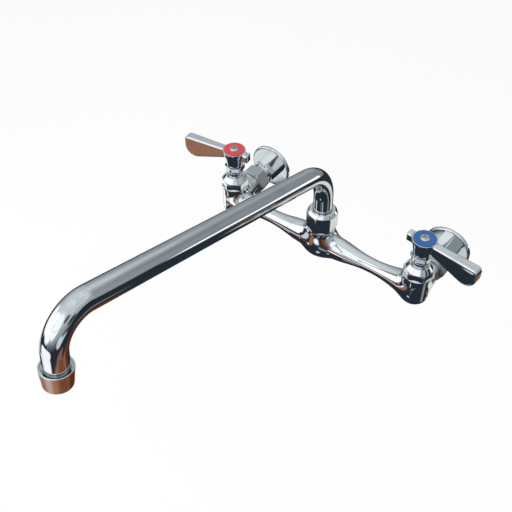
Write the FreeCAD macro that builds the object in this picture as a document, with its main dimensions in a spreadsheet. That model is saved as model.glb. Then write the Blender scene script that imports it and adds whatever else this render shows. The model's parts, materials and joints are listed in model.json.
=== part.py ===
"""Wall-mounted two-handle kitchen tap with a swinging spout, in millimetres.

The origin is on the wall, midway between the two inlets. X runs from the hot
inlet to the cold inlet, Y runs into the wall and Z is up.
"""

import FreeCAD, Part
import math
import os
from types import SimpleNamespace

import Sketcher
from FreeCAD import Placement, Rotation, Vector

# Driving dimensions, in millimetres and degrees
DIMENSIONS = {
    # Wall connection
    "inlet_spacing": 203.2,
    "stem_standoff": 61.5,
    "flange_radius": 22.7,
    "flange_thickness": 3.4,
    "flange_edge_round": 1.6,
    "flange_hub_flats": 21.4,
    "flange_hub_length": 13.4,
    "flange_hub_chamfer": 1.1,
    "flange_hub_turn": 16.4,
    "inlet_thread_radius": 9.3,
    "inlet_thread_length": 13.0,
    "water_bore_radius": 6.8,
    "tail_radius": 9.6,
    "tail_lip_radius": 10.5,
    "tail_lip_thickness": 2.2,
    "union_washer_thickness": 1.6,
    "union_nut_flats": 25.4,
    "union_nut_length": 14.6,
    "union_nut_lip": 2.4,
    "union_nut_gap": 6.0,
    "union_nut_chamfer": 2.0,
    "union_nut_face_radius": 12.3,
    "thread_clearance": 0.1,
    # Cast body
    "port_radius": 12.2,
    "port_thread_radius": 11.0,
    "port_thread_length": 17.0,
    "thread_pitch": 1.81,
    "thread_depth": 0.5,
    "thread_flank": 0.63,
    "arm_drop": 2.0,
    "arm_center_radius": 13.2,
    "arm_waist_radius": 6.8,
    "arm_waist_from_center": 57.0,
    "arm_waist_curve": 112.0,
    "arm_end_from_stem": 12.6,
    "arm_passage_radius": 3.0,
    "arm_passage_drop": 1.8,
    "chamber_radius": 12.4,
    "chamber_bottom": 15.0,
    "chamber_round": 6.0,
    "chamber_rim_radius": 13.2,
    "chamber_rim_height": 3.2,
    "chamber_top": 17.5,
    "chamber_mouth_radius": 10.4,
    "chamber_mouth_depth": 9.5,
    "chamber_bore_radius": 9.0,
    "seat_depth": 5.0,
    "seat_pocket_depth": 5.0,
    "seat_pocket_radius": 5.4,
    "feed_bore_radius": 4.8,
    "feed_bore_drop": 3.2,
    "feed_bore_stop": 13.4,
    "feed_hole_radius": 2.2,
    "feed_hole_drop": 7.6,
    "boss_radius": 12.9,
    "boss_shoulder": 16.3,
    "boss_thread_radius": 10.9,
    "boss_thread_length": 11.7,
    "boss_fillet": 3.0,
    "socket_radius": 7.7,
    "socket_floor": 4.0,
    "socket_mouth_chamfer": 0.6,
    "mixing_radius": 5.6,
    "mixing_depth": 7.0,
    # Valve cartridge and its nut
    "bonnet_flats": 23.8,
    "bonnet_hex_height": 10.0,
    "bonnet_top_radius": 11.2,
    "bonnet_chamfer": 1.6,
    "hot_bonnet_turn": 31.0,
    "cold_bonnet_turn": 16.6,
    "bonnet_skirt_clearance": 0.1,
    "cartridge_clearance": 0.1,
    "cartridge_shoulder": 2.4,
    "cartridge_neck_radius": 6.9,
    "cartridge_neck_clearance": 0.15,
    "cartridge_ring_radius": 8.2,
    "cartridge_ring_bottom": 32.6,
    "cartridge_ring_height": 2.4,
    "cartridge_head_flats": 17.0,
    "cartridge_head_top": 41.0,
    "cartridge_head_bevel_radius": 9.2,
    "cartridge_head_bevel_drop": 0.6,
    "hot_cartridge_turn": 38.2,
    "cold_cartridge_turn": 20.7,
    "cartridge_bore_radius": 7.4,
    "cartridge_window_width": 6.0,
    "cartridge_window_height": 5.0,
    "cartridge_seal_groove_depth": 1.7,
    "cartridge_seal_groove_width": 2.2,
    "cartridge_seal_drop": 3.0,
    "seal_squeeze_gap": 0.05,
    "seat_seal_radius": 7.2,
    "seat_seal_hole": 5.0,
    "seat_seal_thickness": 1.6,
    "ceramic_radius": 7.3,
    "ceramic_thickness": 2.6,
    "ceramic_port_radius": 1.9,
    "ceramic_port_offset": 3.9,
    "drive_key_width": 2.6,
    "drive_key_length": 9.0,
    "drive_key_height": 1.0,
    "key_clearance": 0.08,
    # Stem and handle
    "stem_radius": 4.0,
    "stem_foot_radius": 6.4,
    "stem_foot_height": 2.6,
    "stem_clearance": 0.06,
    "stem_groove_height": 22.0,
    "stem_groove_depth": 1.1,
    "stem_groove_width": 2.0,
    "stem_square": 5.4,
    "stem_square_length": 11.4,
    "stem_square_clearance": 0.06,
    "stem_tap_radius": 1.95,
    "stem_tap_depth": 6.0,
    "hub_bottom": 42.6,
    "hub_height": 16.0,
    "hub_foot_radius": 7.7,
    "hub_neck_radius": 9.4,
    "hub_neck_height": 10.2,
    "hub_rim_radius": 10.8,
    "hub_rim_height": 1.8,
    "hub_recess_depth": 0.4,
    "disc_radius": 9.9,
    "disc_thickness": 1.1,
    "disc_edge_chamfer": 0.25,
    "screw_head_radius": 4.3,
    "screw_head_height": 1.3,
    "screw_head_land": 0.4,
    "screw_shank_radius": 1.9,
    "screw_length": 10.0,
    "screw_clearance": 0.15,
    "screw_slot_width": 1.1,
    "screw_slot_length": 4.6,
    "screw_slot_depth": 0.8,
    "lever_top": 57.8,
    "lever_length": 53.8,
    "lever_thickness": 7.8,
    "lever_tip_thickness": 9.4,
    "lever_tip_radius": 11.0,
    "lever_tip_corner": 4.5,
    "lever_root_depth": 10.1,
    "lever_root_from_stem": 9.0,
    "lever_under_angle": 18.7,
    "stub_length": 16.0,
    "stub_depth": 8.4,
    "hot_lever_turn": -172.6,
    "cold_lever_turn": -5.7,
    # Spout
    "tube_radius": 8.9,
    "tube_wall": 1.1,
    "riser_top": 52.3,
    "elbow_radius": 41.0,
    "spout_rise_angle": 16.1,
    "outlet_bend_radius": 25.0,
    "outlet_lean": 7.5,
    "outlet_drop": 17.4,
    "spout_reach": 305.4,
    "ferrule_flange_thickness": 2.2,
    "ferrule_flange_radius": 10.3,
    "ferrule_foot_gap": 1.2,
    "ferrule_clearance": 0.06,
    "ferrule_bore_radius": 5.4,
    "ferrule_spigot_length": 9.0,
    "ferrule_groove_depth": 1.7,
    "ferrule_groove_width": 2.3,
    "ferrule_groove_first": 5.0,
    "ferrule_groove_second": 13.0,
    "braze_gap": 0.05,
    "swivel_washer_thickness": 1.6,
    "swivel_gap": 0.15,
    "swivel_nut_flats": 25.4,
    "swivel_nut_height": 22.4,
    "swivel_nut_top_radius": 13.2,
    "swivel_nut_chamfer": 1.3,
    "swivel_nut_turn": 33.5,
    "swivel_nut_foot": 1.6,
    "swivel_nut_foot_radius": 13.4,
    "swivel_nut_land": 0.8,
    "swivel_nut_groove_inner": 10.4,
    "swivel_nut_groove_outer": 11.5,
    "swivel_nut_groove_depth": 2.6,
    # Outlet
    "outlet_sleeve_radius": 9.4,
    "outlet_sleeve_length": 4.2,
    "outlet_sleeve_overlap": 5.0,
    "outlet_sleeve_bore": 6.4,
    "aerator_top_radius": 11.6,
    "aerator_bottom_radius": 10.2,
    "aerator_height": 15.0,
    "aerator_recess": 4.2,
    "aerator_recess_radius": 10.4,
    "aerator_lip_height": 1.2,
    "aerator_lip_radius": 8.0,
    "aerator_washer_thickness": 1.0,
    "aerator_washer_hole": 6.0,
    "aerator_overlap": 5.0,
    "aerator_hole_radius": 1.1,
    "aerator_hole_circle": 4.4,
    "aerator_hole_count": 10,
    "aerator_screen_thickness": 0.6,
    "aerator_screen_hole": 0.55,
    "aerator_screen_pitch": 1.9,
    "aerator_clearance": 0.12,
}

DOC = FreeCAD.newDocument("wall_tap")
SHEET = DOC.addObject("Spreadsheet::Sheet", "sizes")


class Size:
    """A size known both as a number and as an expression on the sheet."""

    def __init__(self, value, text):
        self.value = float(value)
        self.text = text

    def __add__(self, other):
        other = as_size(other)
        return Size(self.value + other.value, f"({self.text} + {other.text})")

    def __sub__(self, other):
        other = as_size(other)
        return Size(self.value - other.value, f"({self.text} - {other.text})")

    def __mul__(self, other):
        other = as_size(other)
        return Size(self.value * other.value, f"({self.text} * {other.text})")

    def __truediv__(self, other):
        other = as_size(other)
        return Size(self.value / other.value, f"({self.text} / {other.text})")

    def __neg__(self):
        return Size(-self.value, f"(0 - {self.text})")

    __radd__ = __add__
    __rmul__ = __mul__


def as_size(value):
    """Turns a plain number into a Size."""
    if isinstance(value, Size):
        return value
    return Size(value, f"({float(value)!r})")


def sine(angle):
    return Size(math.sin(math.radians(angle.value)), f"sin({angle.text} * 1 deg)")


def cosine(angle):
    return Size(math.cos(math.radians(angle.value)), f"cos({angle.text} * 1 deg)")


def root(size):
    return Size(math.sqrt(size.value), f"sqrt({size.text})")


def fill_sheet():
    """Writes the driving dimensions and returns them as named sizes."""
    named = SimpleNamespace()
    for row, (name, value) in enumerate(DIMENSIONS.items(), start=1):
        SHEET.set(f"A{row}", name)
        SHEET.set(f"B{row}", str(value))
        SHEET.setAlias(f"B{row}", name)
        setattr(named, name, Size(value, f"sizes.{name}"))
    DOC.recompute()
    return named


D = fill_sheet()
ZERO = as_size(0)
HALF_TURN = as_size(180)
FULL_TURN = 360
HEXAGON_SIDES = 6
UPRIGHT = Vector(0, 0, 1)
ACROSS = Vector(1, 0, 0)
TOWARD_USER = Rotation(ACROSS, 90)
SPOUT_TURN = Rotation(UPRIGHT, HALF_TURN.value)
SIDES = {"hot": -1, "cold": 1}

# How closely an edge is looked at when it is picked for a fillet
EDGE_SAMPLES = 7
EDGE_MARGIN = 0.1


# Levels and lengths that several pieces share
STEM_Y = -D.stem_standoff
SEAT_Z = -D.seat_depth
MOUTH_Z = D.chamber_top - D.chamber_mouth_depth
SEAL_TOP = SEAT_Z + D.seat_seal_thickness
FIXED_TOP = SEAL_TOP + D.ceramic_thickness
MOVING_TOP = FIXED_TOP + D.ceramic_thickness
FOOT_TOP = MOVING_TOP + D.stem_foot_height
SHOULDER_TOP = MOUTH_Z + D.cartridge_shoulder
BONNET_TOP = D.chamber_top + D.bonnet_hex_height
RING_TOP = D.cartridge_ring_bottom + D.cartridge_ring_height
HUB_TOP = D.hub_bottom + D.hub_height
DISC_BOTTOM = HUB_TOP - D.hub_recess_depth
DISC_TOP = DISC_BOTTOM + D.disc_thickness
STEM_TOP = D.hub_bottom + D.stem_square_length
FLANGE_HUB_FRONT = D.flange_thickness + D.flange_hub_length
NUT_WALL_END = FLANGE_HUB_FRONT + D.union_nut_gap
TAIL_LIP_WALL_SIDE = NUT_WALL_END + D.union_nut_lip
TAIL_LIP_FRONT = TAIL_LIP_WALL_SIDE + D.tail_lip_thickness
PORT_END = TAIL_LIP_FRONT + D.union_washer_thickness
PORT_LENGTH = D.stem_standoff - PORT_END
BOSS_TOP = D.boss_shoulder + D.boss_thread_length
FERRULE_FLANGE_TOP = BOSS_TOP + D.swivel_gap + D.ferrule_flange_thickness
WASHER_TOP = FERRULE_FLANGE_TOP + D.swivel_washer_thickness
SWIVEL_NUT_TOP = D.boss_shoulder + D.swivel_nut_height


def signed_distance(sketch, kind, geometry, point, size):
    """Holds one coordinate of a point at a size measured from the origin."""
    if size.value >= 0:
        ends = (-1, 1, geometry, point)
        text = size.text
    else:
        ends = (geometry, point, -1, 1)
        text = (-size).text
    index = sketch.addConstraint(Sketcher.Constraint(kind, *ends, abs(size.value)))
    sketch.setExpression(f"Constraints[{index}]", text)


def hold_point(sketch, geometry, point, place):
    """Holds a point of a sketch at a place given as two sizes."""
    across, up = place
    if across is ZERO:
        sketch.addConstraint(Sketcher.Constraint("PointOnObject", geometry, point, -2))
    else:
        signed_distance(sketch, "DistanceX", geometry, point, across)
    if up is ZERO:
        sketch.addConstraint(Sketcher.Constraint("PointOnObject", geometry, point, -1))
    else:
        signed_distance(sketch, "DistanceY", geometry, point, up)


def arc_through(start, end, radius, bulge):
    """An arc from start to end. Bulge +1 leaves it on the right of the run."""
    chord = end - start
    half = chord.Length / 2
    side = Vector(-chord.y, chord.x, 0).normalize()
    rise = math.sqrt(max(radius * radius - half * half, 0.0))
    center = start + chord * 0.5 + side * rise * bulge
    first = math.atan2(start.y - center.y, start.x - center.x)
    last = math.atan2(end.y - center.y, end.x - center.x)
    if bulge < 0:
        first, last = last, first
    if last <= first:
        last += 2 * math.pi
    circle = Part.Circle(center, UPRIGHT, radius)
    return Part.ArcOfCircle(circle, first, last)


def draw_run(sketch, places, arcs, closed):
    """Draws a chain of lines and arcs through the places, fully held."""
    count = len(places)
    last = count if closed else count - 1
    ends = []
    for index in range(last):
        here = places[index]
        there = places[(index + 1) % count]
        start = Vector(here[0].value, here[1].value, 0)
        end = Vector(there[0].value, there[1].value, 0)
        if index in arcs:
            radius, bulge = arcs[index]
            shape = arc_through(start, end, radius.value, bulge)
            geometry = sketch.addGeometry(shape, False)
            ends.append((geometry, 1, 2) if bulge > 0 else (geometry, 2, 1))
        else:
            geometry = sketch.addGeometry(Part.LineSegment(start, end), False)
            ends.append((geometry, 1, 2))
    for index in range(last if closed else last - 1):
        geometry, _, end_point = ends[index]
        next_geometry, next_start, _ = ends[(index + 1) % last]
        joint = ("Coincident", geometry, end_point, next_geometry, next_start)
        sketch.addConstraint(Sketcher.Constraint(*joint))
    for index, (geometry, start_point, _) in enumerate(ends):
        hold_point(sketch, geometry, start_point, places[index])
    if not closed:
        geometry, _, end_point = ends[-1]
        hold_point(sketch, geometry, end_point, places[-1])
    for index, (radius, _) in arcs.items():
        rule = Sketcher.Constraint("Radius", ends[index][0], radius.value)
        number = sketch.addConstraint(rule)
        sketch.setExpression(f"Constraints[{number}]", radius.text)


def add_sketch(body, name, role, offset=(ZERO, ZERO, ZERO)):
    """Adds an empty sketch on one of the body's own planes."""
    sketch = body.newObject("Sketcher::SketchObject", name)
    planes = body.Origin.OriginFeatures
    plane = next(feature for feature in planes if feature.Role == role)
    sketch.AttachmentSupport = (plane, [""])
    sketch.MapMode = "FlatFace"
    for axis, size in zip("xyz", offset):
        if size is not ZERO:
            sketch.setExpression(f".AttachmentOffset.Base.{axis}", size.text)
    return sketch


def add_outline(body, name, role, places, arcs=None, offset=(ZERO, ZERO, ZERO)):
    """Adds a sketch that holds one closed outline."""
    sketch = add_sketch(body, name, role, offset)
    draw_run(sketch, places, arcs or {}, True)
    return sketch


def add_circle(sketch, center, radius):
    """Adds a held circle to a sketch."""
    middle = Vector(center[0].value, center[1].value, 0)
    circle = Part.Circle(middle, UPRIGHT, radius.value)
    geometry = sketch.addGeometry(circle, False)
    hold_point(sketch, geometry, 3, center)
    rule = Sketcher.Constraint("Radius", geometry, radius.value)
    number = sketch.addConstraint(rule)
    sketch.setExpression(f"Constraints[{number}]", radius.text)


def add_body(label, place=(ZERO, ZERO, ZERO), turn=None, angle=None):
    """Starts a named piece at its place, turned by a fixed or a named angle."""
    body = DOC.addObject("PartDesign::Body", label)
    body.Label = label
    if turn is not None:
        body.Placement = Placement(Vector(), turn)
    if angle is not None:
        body.setExpression(".Placement.Rotation.Angle", angle.text)
    for axis, size in zip("xyz", place):
        if size is not ZERO:
            body.setExpression(f".Placement.Base.{axis}", size.text)
    return body


def turn_profile(body, kind, sketch, axis):
    """Revolves a sketch, adding to the body or cutting from it."""
    before = body.Shape.Volume if kind == "Groove" else 0
    feature = body.newObject(f"PartDesign::{kind}", f"{kind}_{sketch.Name}")
    feature.Profile = sketch
    feature.ReferenceAxis = (sketch, [axis])
    feature.Angle = FULL_TURN
    DOC.recompute()
    if kind == "Groove" and body.Shape.Volume >= before:
        raise ValueError(f"{sketch.Name} cuts nothing")
    return feature


def turned(body, name, places, arcs=None, offset=(ZERO, ZERO, ZERO)):
    """Adds a turned shape about the upright axis. Places are radius, height."""
    sketch = add_outline(body, name, "XZ_Plane", places, arcs, offset)
    return turn_profile(body, "Revolution", sketch, "V_Axis")


def bored(body, name, places, arcs=None, offset=(ZERO, ZERO, ZERO)):
    """Cuts a turned shape about the upright axis out of the body."""
    sketch = add_outline(body, name, "XZ_Plane", places, arcs, offset)
    return turn_profile(body, "Groove", sketch, "V_Axis")


def cut_through(body, sketch, length=None):
    """Cuts a sketch out of the body, both ways from its plane."""
    before = body.Shape.Volume
    pocket = body.newObject("PartDesign::Pocket", f"Pocket_{sketch.Name}")
    pocket.Profile = sketch
    if length is None:
        pocket.Type = "ThroughAll"
    else:
        pocket.setExpression("Length", length.text)
    pocket.Midplane = True
    DOC.recompute()
    if body.Shape.Volume >= before:
        raise ValueError(f"{sketch.Name} cuts nothing")
    return pocket


def pad(body, sketch, length, both_ways=False):
    """Extrudes a sketch into the body."""
    feature = body.newObject("PartDesign::Pad", f"Pad_{sketch.Name}")
    feature.Profile = sketch
    feature.setExpression("Length", length.text)
    feature.Midplane = both_ways
    DOC.recompute()
    return feature


def hex_block(body, name, flats, height, bottom=ZERO, turn=None):
    """Adds a hexagonal block about the upright axis, turned by a named angle."""
    block = body.newObject("PartDesign::AdditivePrism", name)
    block.Polygon = HEXAGON_SIDES
    planes = body.Origin.OriginFeatures
    plane = next(feature for feature in planes if feature.Role == "XY_Plane")
    block.AttachmentSupport = (plane, [""])
    block.MapMode = "FlatFace"
    block.setExpression("Circumradius", f"{flats.text} / sqrt(3)")
    block.setExpression("Height", height.text)
    if bottom is not ZERO:
        block.setExpression(".AttachmentOffset.Base.z", bottom.text)
    if turn is not None:
        block.AttachmentOffset = Placement(Vector(), Rotation(UPRIGHT, turn.value))
        block.setExpression(".AttachmentOffset.Rotation.Angle", turn.text)
    DOC.recompute()
    return block


def break_corners(body, name, flats, radius, level, drop):
    """Turns the corners of a hexagon to a cone that ends at one level."""
    corner = flats / math.sqrt(3)
    low = level - drop
    places = [(radius, level), (flats, level), (flats, low), (corner, low)]
    bored(body, name, places)


def round_edges(body, name, edges, radius):
    """Rounds the named edges of the body's last feature."""
    base = body.Tip
    fillet = body.newObject("PartDesign::Fillet", name)
    fillet.Base = (base, edges)
    fillet.setExpression("Radius", radius.text)
    DOC.recompute()
    return fillet


def ring_profile(inner, outer, bottom, top):
    """The outline of a plain ring."""
    return [(inner, bottom), (outer, bottom), (outer, top), (inner, top)]


def o_ring(label, place, turn, center_radius, section_radius, levels):
    """Makes one node of round-section sealing rings."""
    body = add_body(label, place, turn)
    for number, level in enumerate(levels, start=1):
        sketch = add_sketch(body, f"{label}_section_{number}", "XZ_Plane")
        add_circle(sketch, (center_radius, level), section_radius)
        turn_profile(body, "Revolution", sketch, "V_Axis")
    return body


def inlet_across(side):
    """How far an inlet lies from the middle, with its sign."""
    return D.inlet_spacing * 0.5 * SIDES[side]


def wall_place(side):
    """The place of an inlet's axis on the wall."""
    return (inlet_across(side), ZERO, ZERO)


def stem_place(side):
    """The place of a valve's upright axis at inlet height."""
    return (inlet_across(side), STEM_Y, ZERO)


def add_turning_body(label, side):
    """Starts a piece that turns with its lever and rests at the lever's angle."""
    turn = {"hot": D.hot_lever_turn, "cold": D.cold_lever_turn}[side]
    return add_body(f"{label}_{side}", stem_place(side), Rotation(UPRIGHT, turn.value), turn)


def thread_places(radius, start, end):
    """The toothed side of an outside thread, from its start to its end."""
    pitch = D.thread_pitch
    valley = radius - D.thread_depth
    count = int((end.value - start.value) / pitch.value)
    places = [(valley, start)]
    for turn in range(count):
        foot = start + pitch * turn
        places.append((radius, foot + D.thread_flank))
        places.append((radius, foot + pitch - D.thread_flank))
        places.append((valley, foot + pitch))
    places.append((valley, end))
    return places


def arm_outline():
    """The side of both arms, full in the middle and waisted on each side."""
    waist = D.arm_waist_from_center
    rise = D.arm_waist_radius + D.arm_waist_curve - D.arm_center_radius
    curve = D.arm_waist_curve
    crown = (waist * waist + rise * rise - curve * curve) / ((curve - rise) * 2)
    meet = waist * crown / (crown + curve)
    meet_radius = D.arm_center_radius - crown + root(crown * crown - meet * meet)
    end = D.inlet_spacing * 0.5
    flare = end - D.arm_end_from_stem
    past = flare - waist
    flare_radius = D.arm_waist_radius + curve - root(curve * curve - past * past)
    places = [
        (-end, ZERO),
        (end, ZERO),
        (end, flare_radius),
        (flare, flare_radius),
        (meet, meet_radius),
        (-meet, meet_radius),
        (-flare, flare_radius),
        (-end, flare_radius),
    ]
    arcs = {3: (curve, -1), 4: (crown, 1), 5: (curve, -1)}
    return places, arcs


def make_mixer_body():
    """The cast brass body: two valve chambers, two arms, boss and wall ports."""
    body = add_body("mixer_body", (ZERO, STEM_Y, ZERO))
    places, arcs = arm_outline()
    drop = (ZERO, -D.arm_drop, ZERO)
    sketch = add_outline(body, "arm_side", "XZ_Plane", places, arcs, drop)
    turn_profile(body, "Revolution", sketch, "H_Axis")
    boss_places = [
        (ZERO, -D.arm_drop),
        (D.boss_radius, -D.arm_drop),
        (D.boss_radius, D.boss_shoulder),
        (D.boss_thread_radius, D.boss_shoulder),
        (D.boss_thread_radius, BOSS_TOP),
        (ZERO, BOSS_TOP),
    ]
    turned(body, "boss_side", boss_places)
    round_boss_foot(body)
    for side in SIDES:
        add_chamber(body, side)
    for side in SIDES:
        bore_chamber(body, side)
    passage = D.inlet_spacing * 0.5
    places = [
        (-passage, ZERO),
        (passage, ZERO),
        (passage, D.arm_passage_radius),
        (-passage, D.arm_passage_radius),
    ]
    drop = (ZERO, -D.arm_passage_drop, ZERO)
    sketch = add_outline(body, "arm_passage", "XZ_Plane", places, None, drop)
    turn_profile(body, "Groove", sketch, "H_Axis")
    mouth = D.socket_mouth_chamfer
    socket = [
        (ZERO, -D.mixing_depth),
        (D.mixing_radius, -D.mixing_depth),
        (D.mixing_radius, D.socket_floor),
        (D.socket_radius, D.socket_floor),
        (D.socket_radius, BOSS_TOP - mouth),
        (D.socket_radius + mouth, BOSS_TOP),
        (ZERO, BOSS_TOP),
    ]
    bored(body, "spout_socket", socket)
    return body


def is_boss_foot(edge, to_body):
    """Tells whether an edge runs round the boss where it meets the arms."""
    points = [to_body.multVec(point) for point in edge.discretize(EDGE_SAMPLES)]
    misses = [abs(math.hypot(point.x, point.y) - D.boss_radius.value) for point in points]
    heights = [point.z for point in points]
    below_shoulder = max(heights) < D.boss_shoulder.value - EDGE_MARGIN
    dips = max(heights) - min(heights) > EDGE_MARGIN
    return max(misses) < EDGE_MARGIN and below_shoulder and dips


def round_boss_foot(body):
    """Rounds the corner where the boss stands on the arms."""
    to_body = body.Placement.inverse()
    names = []
    for number, edge in enumerate(body.Shape.Edges, start=1):
        if is_boss_foot(edge, to_body):
            names.append(f"Edge{number}")
    round_edges(body, "boss_foot_round", names, D.boss_fillet)


def add_chamber(body, side):
    """Adds one valve chamber and the threaded port behind it."""
    middle = inlet_across(side)
    corner = D.chamber_round
    rim_foot = D.chamber_top - D.chamber_rim_height
    places = [
        (ZERO, -D.chamber_bottom),
        (D.chamber_radius - corner, -D.chamber_bottom),
        (D.chamber_radius, corner - D.chamber_bottom),
        (D.chamber_radius, rim_foot),
        (D.chamber_rim_radius, rim_foot + (D.chamber_rim_radius - D.chamber_radius)),
        (D.chamber_rim_radius, D.chamber_top),
        (ZERO, D.chamber_top),
    ]
    turned(body, f"chamber_side_{side}", places, {1: (corner, 1)}, (middle, ZERO, ZERO))
    smooth = PORT_LENGTH - D.port_thread_length
    places = [(ZERO, ZERO), (D.port_radius, ZERO), (D.port_radius, smooth)]
    places += thread_places(D.port_thread_radius, smooth, PORT_LENGTH)
    places.append((ZERO, PORT_LENGTH))
    sketch = add_outline(body, f"port_side_{side}", "XY_Plane", places, None, (middle, ZERO, ZERO))
    turn_profile(body, "Revolution", sketch, "V_Axis")


def bore_chamber(body, side):
    """Bores one valve chamber, its seat and its feed from the wall."""
    middle = inlet_across(side)
    pocket_floor = SEAT_Z - D.seat_pocket_depth
    places = [
        (ZERO, pocket_floor),
        (D.seat_pocket_radius, pocket_floor),
        (D.seat_pocket_radius, SEAT_Z),
        (D.chamber_bore_radius, SEAT_Z),
        (D.chamber_bore_radius, MOUTH_Z),
        (D.chamber_mouth_radius, MOUTH_Z),
        (D.chamber_mouth_radius, D.chamber_top),
        (ZERO, D.chamber_top),
    ]
    bored(body, f"chamber_bore_{side}", places, None, (middle, ZERO, ZERO))
    runs = {
        "feed_bore": (D.feed_bore_radius, D.feed_bore_stop, PORT_LENGTH, D.feed_bore_drop),
        "feed_hole": (D.feed_hole_radius, ZERO, D.feed_bore_stop, D.feed_hole_drop),
    }
    for name, (radius, start, end, drop) in runs.items():
        places = [(ZERO, start), (radius, start), (radius, end), (ZERO, end)]
        offset = (middle, ZERO, -drop)
        sketch = add_outline(body, f"{name}_{side}", "XY_Plane", places, None, offset)
        turn_profile(body, "Groove", sketch, "V_Axis")


def make_inlet_flange(side):
    """The wall flange with its hexagon, threaded inlet and lipped tail."""
    body = add_body(f"inlet_flange_{side}", wall_place(side), TOWARD_USER)
    flats = D.flange_hub_flats
    hex_block(body, f"flange_hexagon_{side}", flats, FLANGE_HUB_FRONT, ZERO, D.flange_hub_turn)
    bevel = (flats, flats * 0.5, FLANGE_HUB_FRONT, D.flange_hub_chamfer)
    break_corners(body, f"hexagon_bevel_{side}", *bevel)
    edge = D.flange_edge_round
    places = [
        (ZERO, ZERO),
        (D.flange_radius, ZERO),
        (D.flange_radius, D.flange_thickness - edge),
        (D.flange_radius - edge, D.flange_thickness),
        (D.tail_radius, D.flange_thickness),
        (D.tail_radius, TAIL_LIP_WALL_SIDE),
        (D.tail_lip_radius, TAIL_LIP_WALL_SIDE),
        (D.tail_lip_radius, TAIL_LIP_FRONT),
        (ZERO, TAIL_LIP_FRONT),
    ]
    turned(body, f"flange_side_{side}", places, {2: (edge, 1)})
    places = [
        (ZERO, ZERO),
        (D.inlet_thread_radius, ZERO),
        (D.inlet_thread_radius, D.inlet_thread_length),
        (D.water_bore_radius, D.inlet_thread_length),
        (D.water_bore_radius, TAIL_LIP_FRONT),
        (ZERO, TAIL_LIP_FRONT),
    ]
    bored(body, f"inlet_bore_{side}", places)
    return body


def make_union_nut(side):
    """The coupling nut that pulls the flange's tail onto the body's port."""
    body = add_body(f"union_nut_{side}", wall_place(side), TOWARD_USER)
    flats = D.union_nut_flats
    hex_block(body, f"union_hexagon_{side}", flats, D.union_nut_length, NUT_WALL_END)
    front = NUT_WALL_END + D.union_nut_length
    chamfer = D.union_nut_chamfer
    face = D.union_nut_face_radius
    break_corners(body, f"union_front_bevel_{side}", flats, face, front, chamfer)
    places = [
        (face, NUT_WALL_END),
        (flats / math.sqrt(3), NUT_WALL_END + chamfer),
        (flats, NUT_WALL_END + chamfer),
        (flats, NUT_WALL_END),
    ]
    bored(body, f"union_back_bevel_{side}", places)
    hole = D.tail_radius + D.thread_clearance
    bore = D.port_thread_radius + D.thread_clearance
    places = [
        (ZERO, NUT_WALL_END),
        (hole, NUT_WALL_END),
        (hole, TAIL_LIP_WALL_SIDE),
        (bore, TAIL_LIP_WALL_SIDE),
        (bore, front),
        (ZERO, front),
    ]
    bored(body, f"union_bore_{side}", places)
    return body


def make_union_washer(side):
    """The sealing washer between the flange's tail and the body's port."""
    body = add_body(f"union_washer_{side}", wall_place(side), TOWARD_USER)
    outline = ring_profile(D.water_bore_radius, D.tail_lip_radius, TAIL_LIP_FRONT, PORT_END)
    turned(body, f"union_washer_side_{side}", outline)
    return body


def make_bonnet_nut(side):
    """The hexagonal nut that holds the cartridge down in its chamber."""
    body = add_body(f"bonnet_nut_{side}", stem_place(side))
    flats = D.bonnet_flats
    turn = {"hot": D.hot_bonnet_turn, "cold": D.cold_bonnet_turn}[side]
    hex_block(body, f"bonnet_hexagon_{side}", flats, D.bonnet_hex_height, D.chamber_top, turn)
    radius = D.bonnet_top_radius
    break_corners(body, f"bonnet_bevel_{side}", flats, radius, BONNET_TOP, D.bonnet_chamfer)
    skirt = D.chamber_mouth_radius - D.bonnet_skirt_clearance
    hole = D.cartridge_neck_radius + D.cartridge_neck_clearance
    turned(body, f"bonnet_skirt_{side}", ring_profile(hole, skirt, SHOULDER_TOP, D.chamber_top))
    bored(body, f"bonnet_bore_{side}", ring_profile(ZERO, hole, D.chamber_top, BONNET_TOP))
    return body


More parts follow.
